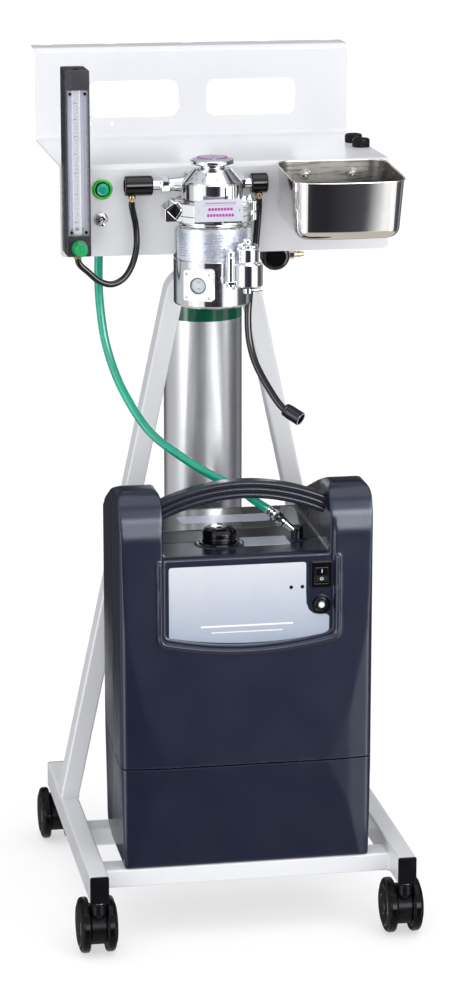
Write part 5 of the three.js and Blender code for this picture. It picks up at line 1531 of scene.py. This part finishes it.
def yoke():
    tank, gauge = Box("oxygen_cylinder"), Box("regulator_gauge")
    x, y = tank.mid.x, tank.mid.y
    outline = rounded_rectangle(x - 24, x + 24, y - YOKE_HALF_DEPTH, y + YOKE_HALF_DEPTH, 10)
    opening = rounded_rectangle(x - 13, x + 13, y - 14, y + 22, 2)
    ring = slab([outline, opening], YOKE_Z - YOKE_HALF_HEIGHT, YOKE_Z + YOKE_HALF_HEIGHT, "z", 1.4, 3)
    ring = carve(ring, [rod((x, y + 20, YOKE_Z), "y", 16, 4.4, steps=32)])
    start_y = Box("a_frame").hi.y + 9
    length = y - YOKE_HALF_DEPTH + 1 - start_y
    regulator = turned([(0, 0), (18, 0), (20, 2), (20, 8), (18.6, 9), (18.6, 11), (20, 12), (20, length),
                        (0, length)], (x, start_y, YOKE_Z), "y", 72, 0.6)
    arm = rod((x + 12, MANIFOLD_Y, YOKE_Z + 4), "x", 92, 7.6, steps=32)
    arch = block((x - 10, y - YOKE_HALF_DEPTH, 914), (x + 10, y - YOKE_HALF_DEPTH + 12, 1000), 1.2)
    foot = block((x - 24, y - 46, 1000), (x + 24, y - 10, 1023.2), 1.6)
    port_z = gauge.mid.z - 7
    manifold = block((78, MANIFOLD_Y - 8, port_z - 7), (118, MANIFOLD_Y + 8, YOKE_Z + 1), 1.5)
    nut = turned([(0, 0), (6.5, 0), (6.5, 8), (0, 8)], (117, MANIFOLD_Y, port_z), "x", 6, 0.5)
    tail = turned([(0, 0), (3.4, 0), (4.4, 1), (3.4, 5), (4.4, 6), (3.4, 10), (3, 14), (0, 14)],
                  (125, MANIFOLD_Y, port_z), "x", 32, 0.3)
    shells = [(ring, BRASS), (regulator, CHROME), (arm, BRASS), (manifold, BRASS), (arch, PLATED_STEEL),
              (foot, PLATED_STEEL), (nut, CHROME), (tail, BRASS)]
    piece("regulator_yoke_casting", "machine", shells, ["regulator_yoke"])

    bar_y = y + 46
    bar = slab([soften([(x - 20, 896), (x - 7, 892.5), (x + 7, 892.5), (x + 20, 896), (x + 20, 904),
                        (x + 7, 907.5), (x - 7, 907.5), (x - 20, 904)], 4, True)], bar_y, bar_y + 7, "y",
               1.2, 3)
    thread = [(3.6 if i % 2 else 3.2, 0.4 + i * 0.9) for i in range(36)]
    shaft = turned([(0, 0), (2.2, 0), *thread, (3.6, 36), (0, 36)], (x, y + 14.6, YOKE_Z), "y", 28, 0.2)
    piece("yoke_tee_screw", "yoke_screw", [(shaft, PLATED_STEEL), (bar, PLATED_STEEL)], ["yoke_screw"])

    gx, gy, gz = gauge.mid.x, GAUGE_Y, gauge.mid.z
    case = turned([(0, -14), (13.4, -14), (16, -13.2), (18.6, -10), (19.5, -7), (19.5, 7.6), (18.2, 9),
                   (0, 9)], (gx, gy, gz), "y", 72, 1.6)
    stem = turned([(0, 8), (6.4, 8), (6.4, 14), (5, 14.6), (5, gauge.hi.y - gy), (0, gauge.hi.y - gy)],
                  (gx, gy, gz), "y", 6, 0.4)
    rim = turned([(18.9, -4.5), (20.1, -4), (20.1, 1), (18.9, 1.5)], (gx, gy, gz), "y", 72, 0.4, True)
    piece("regulator_pressure_gauge", "machine", [(case, GLOSS_BLACK), (rim, CASE_PLASTIC), (stem, BRASS)],
          ["regulator_gauge"])


# ---------------------------------------------------------------- oxygen concentrator
DECK_HALF = 112
DECK_Z = 531.5
DECK_FRONT_Y = 32
DECK_SLOPE = 6.5 / 268
BAY_LEFT, BAY_RIGHT, BAY_LOW = -113, 118, 420
BAY_CORNER = 10
BAY_BOW = 48
BAY_FLOOR_Y = 25.5
FACE_LEAN = 9
CASE_WALL = 3
SEAM_GAP = 2
CASE_REAR_TAPER = 10
CASE_FRONT_BOW = 6
CASE_GRAIN = 1.5
CASE_EASING = 9
CASE_KEEP = 0.2
HANDLE_Z = 589
HANDLE_RISE = 25
HANDLE_RIDGE = 4.4
HANDLE_PITCH = 7.6
ROCKER_TILT = 8
ROCKER_Y = 25.6
LAMPS_X = (59.3, 74.4)
LAMPS_Z = 485


def bay_outline(margin, top):
    """The control bay's straight sides and bowed lower edge, from its top left corner to its top right."""
    left, right, low, corner = BAY_LEFT - margin, BAY_RIGHT + margin, BAY_LOW - margin, BAY_CORNER
    points = [(left, top), (left, low + corner)]
    for k in range(1, 7):
        t = k / 6
        points.append((left + corner * t * t, low + corner * (1 - t) ** 2 - 2 * t * t - 2 * t * (1 - t)))
    for k in range(1, 25):
        t = k / 24
        x = (left + corner) * (1 - t) ** 2 + (left + right) * t * (1 - t) + (right - corner) * t * t
        points.append((x, low - 2 - BAY_BOW * t * (1 - t)))
    for k in range(1, 7):
        t = k / 6
        points.append((right - corner * (1 - t) ** 2, low - 2 * (1 - t) ** 2 - 2 * t * (1 - t) + corner * t
                       * t))
    return points + [(right, top)]


def front_face_y(z):
    """The leaning front of the case at a height."""
    front = Box("concentrator_front")
    return front.lo.y + FACE_LEAN * (z - front.lo.z) / (front.hi.z - 7 - front.lo.z)


def deck_z(y):
    """The height of the deck, which rises a little towards the back."""
    return DECK_Z + (y - DECK_FRONT_Y) * DECK_SLOPE


def case_solid():
    base, front, rear = Box("concentrator_base"), Box("concentrator_front"), Box("concentrator_rear")
    half, low, high, seam = front.hi.x, base.lo.z, front.hi.z, (base.hi.z + front.lo.z) / 2
    near, far = front.lo.y, rear.hi.y
    side = [(near + 4, low, 3), (223, low, 8), (256, seam, 10), (far, 330, 60), (far, 548, 24),
            (215, 572, 30), (120, 606, 60), (80, high, 30), (56, high - 1, 30), (43, high - 7, 30),
            (33, high - 18, 30), (26.5, high - 35, 40), (22.6, high - 60, 60), (near, seam, 60)]
    face = [(-half + 3, low, 3), (half - 3, low, 3), (half, seam, 80), (half, high, 17), (-half, high, 17),
            (-half, seam, 80)]
    side_slab = slab([soften([p[:2] for p in side], [p[2] for p in side], True, 8)], -half - 2, half + 2,
                     "x", 0)
    face_slab = slab([soften([p[:2] for p in face], [p[2] for p in face], True, 8)], near - 2, far + 2, "y",
                     0)
    split, rear_half = front.hi.y, half - CASE_REAR_TAPER
    plan = [(-half, near + CASE_FRONT_BOW, 11), (-half + 32, near + 0.3 * CASE_FRONT_BOW, 120),
            (-half + 64, near, 120), (half - 64, near, 120), (half - 32, near + 0.3 * CASE_FRONT_BOW, 120),
            (half, near + CASE_FRONT_BOW, 11), (half, split, 60), (rear_half, far, 12),
            (-rear_half, far, 12), (-half, split, 60)]
    plan_slab = slab([soften([p[:2] for p in plan], [p[2] for p in plan], True, 8)], low - 2, high + 2, "z",
                     0)
    solid = carve(side_slab, [face_slab, plan_slab], "INTERSECT")

    room = soften([(-DECK_HALF, 480), (DECK_HALF, 480), (DECK_HALF, high), (DECK_HALF + 30, high + 0.2),
                   (DECK_HALF + 30, 700), (-DECK_HALF - 30, 700), (-DECK_HALF - 30, high + 0.2),
                   (-DECK_HALF, high)], [0, 0, 15, 1, 1, 1, 1, 15], True, 8)
    above_deck = [(0, deck_z(27) - 2), (27, deck_z(27) - 2), (33, deck_z(33)), (300, deck_z(300)),
                  (300, 720), (0, 720)]
    room_slab = carve(slab([room], -10, 310, "y", 0), [slab([above_deck], -200, 200, "x", 0)], "INTERSECT")
    bay_slab = slab([bay_outline(0, 590)], -5, BAY_FLOOR_Y, "y", 0)
    solid = carve(solid, [room_slab, bay_slab])

    lip = [Vector((x, front_face_y(z) + 0.6, z)) for x, z in bay_outline(4, 526)]
    cap = Box("filter_cap")
    dish = turned([(27.6, -4), (33, -4), (32.4, 0.6), (30.6, 2), (28.6, 1.2)],
                  (cap.mid.x, cap.mid.y, deck_z(cap.mid.y)), "z", 96, 0.6, True)
    socket = Box("oxygen_outlet")
    boss = turned([(5.4, -4), (13.6, -4), (13, 1.2), (12, 2.2), (5.4, 2.2)],
                  (socket.mid.x, socket.mid.y, deck_z(socket.mid.y)), "z", 64, 0.6, True)
    return carve(solid, [sweep(lip, circle(0, 0, 2.6, 12)), dish, boss], "UNION")


def rounded_over(bm, grain, rounds, keep):
    """The solid re-meshed on a fine grid and eased all over, then thinned where it is flat."""
    return modified(bm, ("REMESH", {"mode": "VOXEL", "voxel_size": grain, "adaptivity": 0}),
                    ("SMOOTH", {"factor": 0.5, "iterations": rounds}), ("DECIMATE", {"ratio": keep}))


def half_of(bm, plane, normal):
    """A copy of the shape on the side of the plane that the normal points to, left open."""
    return cut_plane(bm.copy(), plane, normal, clear=True)


def shelled(bm, wall):
    """A closed shell with the open shape as its outside."""
    return modified(bm, ("SOLIDIFY", {"thickness": wall, "offset": -1}))


def concentrator_case():
    front = Box("concentrator_front")
    seam, split = front.lo.z - 0.15, front.hi.y + 0.15
    grain, rounds = ((CASE_GRAIN, CASE_EASING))
    whole = rounded_over(case_solid(), grain, rounds, CASE_KEEP)
    upper = half_of(whole, (0, 0, seam + SEAM_GAP / 2), (0, 0, 1))
    base = shelled(half_of(whole, (0, 0, seam - SEAM_GAP / 2), (0, 0, -1)), CASE_WALL)
    face = shelled(half_of(upper, (0, split - SEAM_GAP / 2, 0), (0, -1, 0)), CASE_WALL)
    back = shelled(half_of(upper, (0, split + SEAM_GAP / 2, 0), (0, 1, 0)), CASE_WALL)
    bore = [rod((Box("filter_cap").mid.x, Box("filter_cap").mid.y, 505), "z", 60, 20),
            rod((Box("oxygen_outlet").mid.x, Box("oxygen_outlet").mid.y, 505), "z", 40, 5)]
    bezel = Box("switch_bezel")
    switch_hole = block((88, 10, 486), (112, 60, 516), 0)
    reset_hole = rod((bezel.mid.x, 10, Box("reset_button").mid.z), "y", 40, 4.6)
    vents = [slab([rounded_rectangle(-90, 90, z, z + 8, 3.8)], 250, 270, "y", 0)
             for z in range(300, 411, 22)]
    face = carve(face, bore + [switch_hole, reset_hole])
    back = carve(back, bore + vents)
    piece("concentrator_base_shell", "machine", [(base, CASE_PLASTIC)], ["concentrator_base"],
          50)
    collar = turned([(4.4, -3.4), (6.4, -3.4), (7, -1.2), (9.4, 0), (11.6, -2.6), (12.5, -5.2), (12.5, 0.4),
                     (4.4, 0.4)], (bezel.mid.x, BAY_FLOOR_Y, Box("reset_button").mid.z), "y", 72, 0.8, True)
    cap = Box("filter_cap")
    flange = turned([(23.6, -1), (28, -1), (27.8, 1.4), (26, 3.2), (23.6, 3.2)],
                    (cap.mid.x, cap.mid.y, deck_z(cap.mid.y)), "z", 96, 0.6, True)
    shells = [(face, CASE_PLASTIC), (collar, GLOSS_BLACK), (flange, GLOSS_BLACK)]
    piece("concentrator_front_shell", "machine", shells, ["concentrator_front"], 50)
    piece("concentrator_rear_shell", "machine", [(back, CASE_REAR)], ["concentrator_rear"],
          50)


def control_label():
    label = [(-104.6, 518.7), (79.5, 518.7), (79.5, 478), (80.2, 462), (83.5, 453), (90, 447.5), (98, 446),
             (107, 446), (111, 443), (111, 424), (104, 419.5)]
    label += [(104 - 208.6 * k / 16, 419.5 - 40 * (k / 16) * (1 - k / 16) * 0.95 + 3 * k / 16)
              for k in range(1, 17)]
    rounds = [4, 4, 3, 3, 3, 3, 3, 3, 3, 3, 3] + [1] * 16
    sheet = slab([soften(label, rounds, True, 4)], BAY_FLOOR_Y - 0.75, BAY_FLOOR_Y + 0.3, "y", 0.15)
    shells = [(sheet, LABEL)]
    for x in LAMPS_X:
        shells.append((turned([(0, -1.1), (1.7, -1.1), (2.5, -0.6), (2.5, 0.3), (0, 0.3)],
                              (x, BAY_FLOOR_Y - 0.6, LAMPS_Z), "y", 32, 0.3), GLOSS_BLACK))
    for low, high, wide in ((434.5, 437, 62), (426.5, 428, 48)):
        shells.append((block((-wide, BAY_FLOOR_Y - 0.86, low), (wide, BAY_FLOOR_Y - 0.7, high), 0.04, 1),
                       WHITE))
    plate = slab([rounded_rectangle(4, 67, 68, 108, 3)], 0, 0.7, "z", 0.2)
    for vert in plate.verts:
        vert.co.z += deck_z(vert.co.y) - 0.2
    shells.append((plate, PALE_BAND))
    piece("concentrator_labels", "machine", shells)


def deck_overlay():
    """The glossy plate on the rear of the deck, with a pale band across it."""
    plate = slab([rounded_rectangle(-106, 106, 153, 252, 6)], 0, 0.9, "z", 0.25)
    band = slab([soften([(-62, 184), (60, 184), (71, 220), (-64, 220)], 3, True)], 0.6, 1.2, "z", 0.15)
    for bm in (plate, band):
        for vert in bm.verts:
            vert.co.z += deck_z(vert.co.y) - 0.2
    piece("concentrator_deck_overlay", "machine", [(plate, CASE_GLOSS), (band, PALE_BAND)])


def handle():
    grip = Box("concentrator_handle")
    reach = grip.hi.x
    y, deep = grip.mid.y, (grip.hi.y - grip.lo.y) / 2
    steps = 40
    path = []
    for k in range(steps + 1):
        t = k / steps
        x = -reach + 2 * reach * t
        path.append(Vector((x, y, HANDLE_Z + 4 * HANDLE_RISE * t * (1 - t))))
    ridges = [rounded_rectangle(-deep, deep, rise - HANDLE_RIDGE, rise + HANDLE_RIDGE, 4, 8)
              for rise in (-HANDLE_PITCH, 0, HANDLE_PITCH)]
    web = rounded_rectangle(-deep + 2.6, deep - 2.6, -10, 10, 2, 4)
    shells = [(sweep(path, section), SOFT_GRIP) for section in [*ridges, web]]
    piece("concentrator_carry_handle", "machine", shells, ["concentrator_handle"], 50)


def switch_and_reset():
    bezel, reset = Box("switch_bezel"), Box("reset_button")
    x, z = bezel.mid.x, bezel.mid.z
    rim = slab([rounded_rectangle(bezel.lo.x, bezel.hi.x, bezel.lo.z, bezel.hi.z, 3),
                rounded_rectangle(91, 109, 489, 513, 1)], bezel.lo.y, bezel.lo.y + 3.1, "y", 0.9, 3)
    can = slab([rounded_rectangle(88.4, 111.6, 486.4, 515.6, 1), rounded_rectangle(91, 109, 489, 513, 1)],
               bezel.lo.y + 2, 38, "y", 0.2)
    back = block((88.4, 37.8, 486.4), (111.6, bezel.hi.y, 515.6), 0.5)
    piece("switch_bezel_frame", "machine",
          [(rim, GLOSS_BLACK), (can, MOULDED_BLACK), (back, MOULDED_BLACK)], ["switch_bezel"])

    outline = [(0, -11.2), (-3.4, -11), (-4.2, -5), (-5.2, 0), (-4.2, 5), (-3.4, 11), (0, 11.2), (7, 7),
               (7, -7)]
    paddle = slab([soften(outline, 1.2, True)], -8.6, 8.6, "x", 0.7, 3)
    mark_on = block((-0.45, -0.25, -2.3), (0.45, 0.35, 2.3), 0.05, 1)
    mark_off = turned([(1.5, -0.25), (2.3, -0.25), (2.3, 0.35), (1.5, 0.35)], (0, 0, 0), "y", 36, 0.05,
                      True)
    for bm, z_mark, turn in ((mark_on, 6, -9), (mark_off, -5, 9)):
        bm.transform(Matrix.Translation((0, -4.35, z_mark)) @ Matrix.Rotation(math.radians(turn), 4, "X"))
    shells = [(paddle, GLOSS_BLACK), (mark_on, WHITE), (mark_off, WHITE)]
    for bm, _ in shells:
        bm.transform(Matrix.Translation((x, ROCKER_Y, z)) @ Matrix.Rotation(math.radians(ROCKER_TILT), 4,
                                                                            "X"))
    piece("rocker_paddle", "rocker_switch", shells, ["rocker_switch"])

    button = turned([(0, 0), (2.6, 0), (3.8, 0.9), (4.1, 2.4), (4.1, reset.hi.y - reset.lo.y),
                     (0, reset.hi.y - reset.lo.y)], (reset.mid.x, reset.lo.y, reset.mid.z), "y", 56, 0.8)
    piece("reset_push_button", "reset_button", [(button, WHITE)], ["reset_button"])


def filter_cap():
    cap = Box("filter_cap")
    x, y, top = cap.mid.x, cap.mid.y, cap.hi.z
    deck = deck_z(y)
    knob = turned([(0, cap.lo.z), (17.5, cap.lo.z), (17.5, deck + 1.2), (22.4, deck + 1.6),
                   (22.8, deck + 9), (22.1, deck + 9.8), (22.1, deck + 10.6), (22.8, deck + 11.4),
                   (22.8, deck + 16), (20.6, top - 3.4), (17.6, top - 0.8), (12, top), (0, top)], (x, y, 0),
                  "z", 120, 1.6)
    dimples = [turned([(0, -1.8), (3.2, -1.2), (4.6, 0.4), (4.6, 4), (0, 4)],
                      (x + side * 1.6, y + side * 8, top), "z", 40, 1.2) for side in (-1, 1)]
    piece("filter_cap_knob", "filter_cap", [(carve(knob, dimples), GLOSS_BLACK)], ["filter_cap"])


def internals():
    unit, beds = Box("compressor"), Box("sieve_beds")
    floor = unit.lo.z
    motor = turned([(0, floor + 12), (44, floor + 12), (48, floor + 18), (48, floor + 58), (46, floor + 60),
                    (46, floor + 66), (48, floor + 68), (48, floor + 116), (44, floor + 122),
                    (0, floor + 122)], (-40, 130, 0), "z", 72, 2)
    shells = [(block((-110, 70, floor), (30, 190, floor + 14), 2), ALUMINIUM), (motor, ALUMINIUM),
              (block((-100, 105, floor + 90), (20, 155, floor + 128), 5), ALUMINIUM)]
    piece("compressor_unit", "machine", shells, ["compressor"])
    shells = [(turned([(0, floor), (24, floor), (25, floor + 3), (25, 478), (20, 486), (0, 486)],
                      (x, 165, 0), "z", 56, 2), ALUMINIUM) for x in (70, 125)]
    shells.append((block((60, 152, 470), (135, 178, beds.hi.z), 2.5), MOULDED_BLACK))
    piece("sieve_bed_canisters", "machine", shells, ["sieve_beds"])


def concentrator():
    concentrator_case()
    control_label()
    deck_overlay()
    handle()
    switch_and_reset()
    filter_cap()
    internals()


# ---------------------------------------------------------------- room, light and camera
# What shiny surfaces see round the studio: degrees from straight ahead towards +X, brightness and blue tint.
STUDIO_BANDS = [(-180, 0.06, 1.1), (-150, 0.06, 1.1), (-138, 0.55, 1.03), (-88, 0.62, 1.02), (-82, 1.1, 1),
                (-68, 1.1, 1), (-64, 5, 1), (-56, 5, 1), (-52, 1.1, 1), (-36, 1.1, 1), (-31, 0.06, 1.2),
                (6, 0.025, 1.25), (18, 0.08, 1.2), (24, 1.2, 1), (38, 1.2, 1), (41, 5, 1), (48, 5, 1),
                (51, 1.2, 1), (68, 1.2, 1), (73, 0.14, 1.15), (108, 0.05, 1.2), (116, 0.4, 1.05),
                (140, 0.06, 1.1), (180, 0.06, 1.1)]
# The same for the narrow strip just above the horizon, with no tint.
STRIP_BANDS = [(-180, 0.12), (-80, 0.5), (-66, 4), (-44, 4), (-30, 0.9), (2, 0.9), (11, 11), (44, 11),
               (56, 0.6), (180, 0.12)]
FLOOR_SIZE = 60
FLOOR_GLOW = 0.56
FLOOR_TONE = (0.66, 0.6, 0.54)
FRONT_TONE = (0.92, 0.96, 1.06)
CEILING_TONE = (0.72, 0.74, 0.8)
ROOM_TONE = (0.9, 0.905, 0.92)
BACKDROP_TONE = (1.04, 1.04, 1.04)
ROOM_STRENGTH = 0.98
CAMERA_AZIMUTH = -10.11
CAMERA_ELEVATION = 14.10
CAMERA_LENS = 110.05
CAMERA_SENSOR = 36
CAMERA_PLACE = (-0.7007, -4.03245, 1.583)


def linked(name, data):
    """A new object in the scene."""
    obj = bpy.data.objects.new(name, data)
    bpy.context.scene.collection.objects.link(obj)
    return obj


def area(name, place, target, size, energy, glossy=True):
    light = bpy.data.lights.new(name, "AREA")
    light.shape = "RECTANGLE"
    light.size, light.size_y = size
    light.energy = energy
    lamp = linked(name, light)
    lamp.location = place
    lamp.rotation_euler = (Vector(target) - Vector(place)).to_track_quat("-Z", "Y").to_euler()
    lamp.visible_glossy = glossy


def lights():
    overhead = bpy.data.lights.new("overhead", "SUN")
    overhead.energy = 0.6
    overhead.angle = math.radians(50)
    linked("overhead", overhead).rotation_euler = (math.radians(12), math.radians(8), 0)
    area("right_softbox", (1.9, -3.0, 1.75), (0, 0, 0.6), (1.3, 1.5), 13)
    area("left_fill", (-2.0, -3.4, 1.5), (0, 0, 0.7), (2.2, 2.2), 30, glossy=False)


def studio_floor():
    mesh = bpy.data.meshes.new("studio_floor")
    bm = bmesh.new()
    bmesh.ops.create_grid(bm, x_segments=1, y_segments=1, size=FLOOR_SIZE)
    bm.to_mesh(mesh)
    bm.free()
    ground = linked("studio_floor", mesh)
    look = Look("studio_floor", (0.45, 0.45, 0.45), 0.8, Emission_Color=(1, 1, 1, 1),
                Emission_Strength=FLOOR_GLOW)
    mesh.materials.append(look.mottle(0.004, 900).haze(0.02, 500).relief(0.02, 40).material)
    ground.visible_glossy = False


def room():
    """A white room for the camera, and bands of light and dark for shiny surfaces to mirror."""
    world = bpy.data.worlds.new("studio")
    bpy.context.scene.world = world
    world.use_nodes = True
    nodes, links = world.node_tree.nodes, world.node_tree.links

    def node(kind, *sources, **settings):
        made = nodes.new(kind)
        for key, value in settings.items():
            setattr(made, key, value)
        for i, source in enumerate(sources):
            if isinstance(source, (int, float)):
                made.inputs[i].default_value = source
            else:
                links.new(source, made.inputs[i])
        return made

    def mix(factor, low, high):
        """One colour to another; each is a node's output or a plain tone."""
        made = node("ShaderNodeMix", factor, data_type="RGBA")
        for socket, colour in ((made.inputs[6], low), (made.inputs[7], high)):
            if isinstance(colour, tuple):
                socket.default_value = (*colour, 1)
            else:
                links.new(colour, socket)
        return made.outputs[2]

    def share(source, start, end, low=0, high=1):
        """How far a value has come from a start to an end."""
        return node("ShaderNodeMapRange", source, start, end, low, high).outputs[0]

    def both(a, b):
        return node("ShaderNodeMath", a, b, operation="MULTIPLY").outputs[0]

    def bands(stops):
        """A ring of colours round the vertical axis, from (degrees, colour) stops."""
        ramp = node("ShaderNodeValToRGB", circle_share)
        elements = ramp.color_ramp.elements
        stops = [((degrees + 180) / 360, (*colour, 1)) for degrees, colour in stops]
        for element, (position, colour) in zip(elements, (stops[0], stops[-1])):
            element.position, element.color = position, colour
        for position, colour in stops[1:-1]:
            elements.new(position).color = colour
        return ramp.outputs[0]

    split = node("ShaderNodeSeparateXYZ", node("ShaderNodeTexCoord").outputs["Generated"])
    height = split.outputs["Z"]
    ahead = both(split.outputs["Y"], -1)
    turn = node("ShaderNodeMath", split.outputs["X"], ahead, operation="ARCTAN2").outputs[0]
    circle_share = share(turn, -math.pi, math.pi)

    walls = bands([(degrees, (value, value, value * tint)) for degrees, value, tint in STUDIO_BANDS])
    seen = mix(both(share(ahead, 0.15, 0.4), share(height, -0.07, 0.1)), walls, FRONT_TONE)
    strip = bands([(degrees, (value,) * 3) for degrees, value in STRIP_BANDS])
    seen = mix(both(share(height, -0.03, 0.06), share(height, 0.26, 0.4, 1, 0)), seen, strip)
    seen = mix(share(height, -0.62, -0.5), FLOOR_TONE, seen)
    seen = mix(share(height, 0.72, 0.84), seen, CEILING_TONE)
    rays = node("ShaderNodeLightPath").outputs
    plain = mix(rays["Is Camera Ray"], ROOM_TONE, BACKDROP_TONE)
    links.new(mix(rays["Is Glossy Ray"], plain, seen), nodes["Background"].inputs[0])
    nodes["Background"].inputs[1].default_value = ROOM_STRENGTH


def camera():
    azimuth, elevation = math.radians(CAMERA_AZIMUTH), math.radians(CAMERA_ELEVATION)
    back = Vector((math.sin(azimuth) * math.cos(elevation), -math.cos(azimuth) * math.cos(elevation),
                   math.sin(elevation)))
    data = bpy.data.cameras.new("camera")
    data.lens = CAMERA_LENS
    data.sensor_width = CAMERA_SENSOR
    eye = linked("camera", data)
    eye.location = CAMERA_PLACE
    eye.rotation_euler = (-back).to_track_quat("-Z", "Y").to_euler()
    bpy.context.scene.camera = eye


def build():
    floor_frame()
    a_frame()
    shelf_post()
    for end in ("front", "rear"):
        for side in ("left", "right"):
            end_cap(end, side)
            caster(end, side)
    shelf_panel()
    for node in ("front_port_plug", "rear_port_plug"):
        port_plug(node)
    basin()
    for node in ("left_basin_bolt", "right_basin_bolt"):
        basin_bolt(node)
    flowmeter()
    flowmeter_knob()
    flush()
    selector()
    vaporizer()
    vaporizer_dial()
    sight_glass()
    filler()
    elbow("inlet_elbow", -1)
    elbow("outlet_elbow", 1)
    small_hoses()
    oxygen_line()
    cylinder()
    yoke()
    concentrator()
    studio_floor()
    room()
    lights()
    camera()


build()
bpy.context.scene.view_settings.view_transform = "Standard"
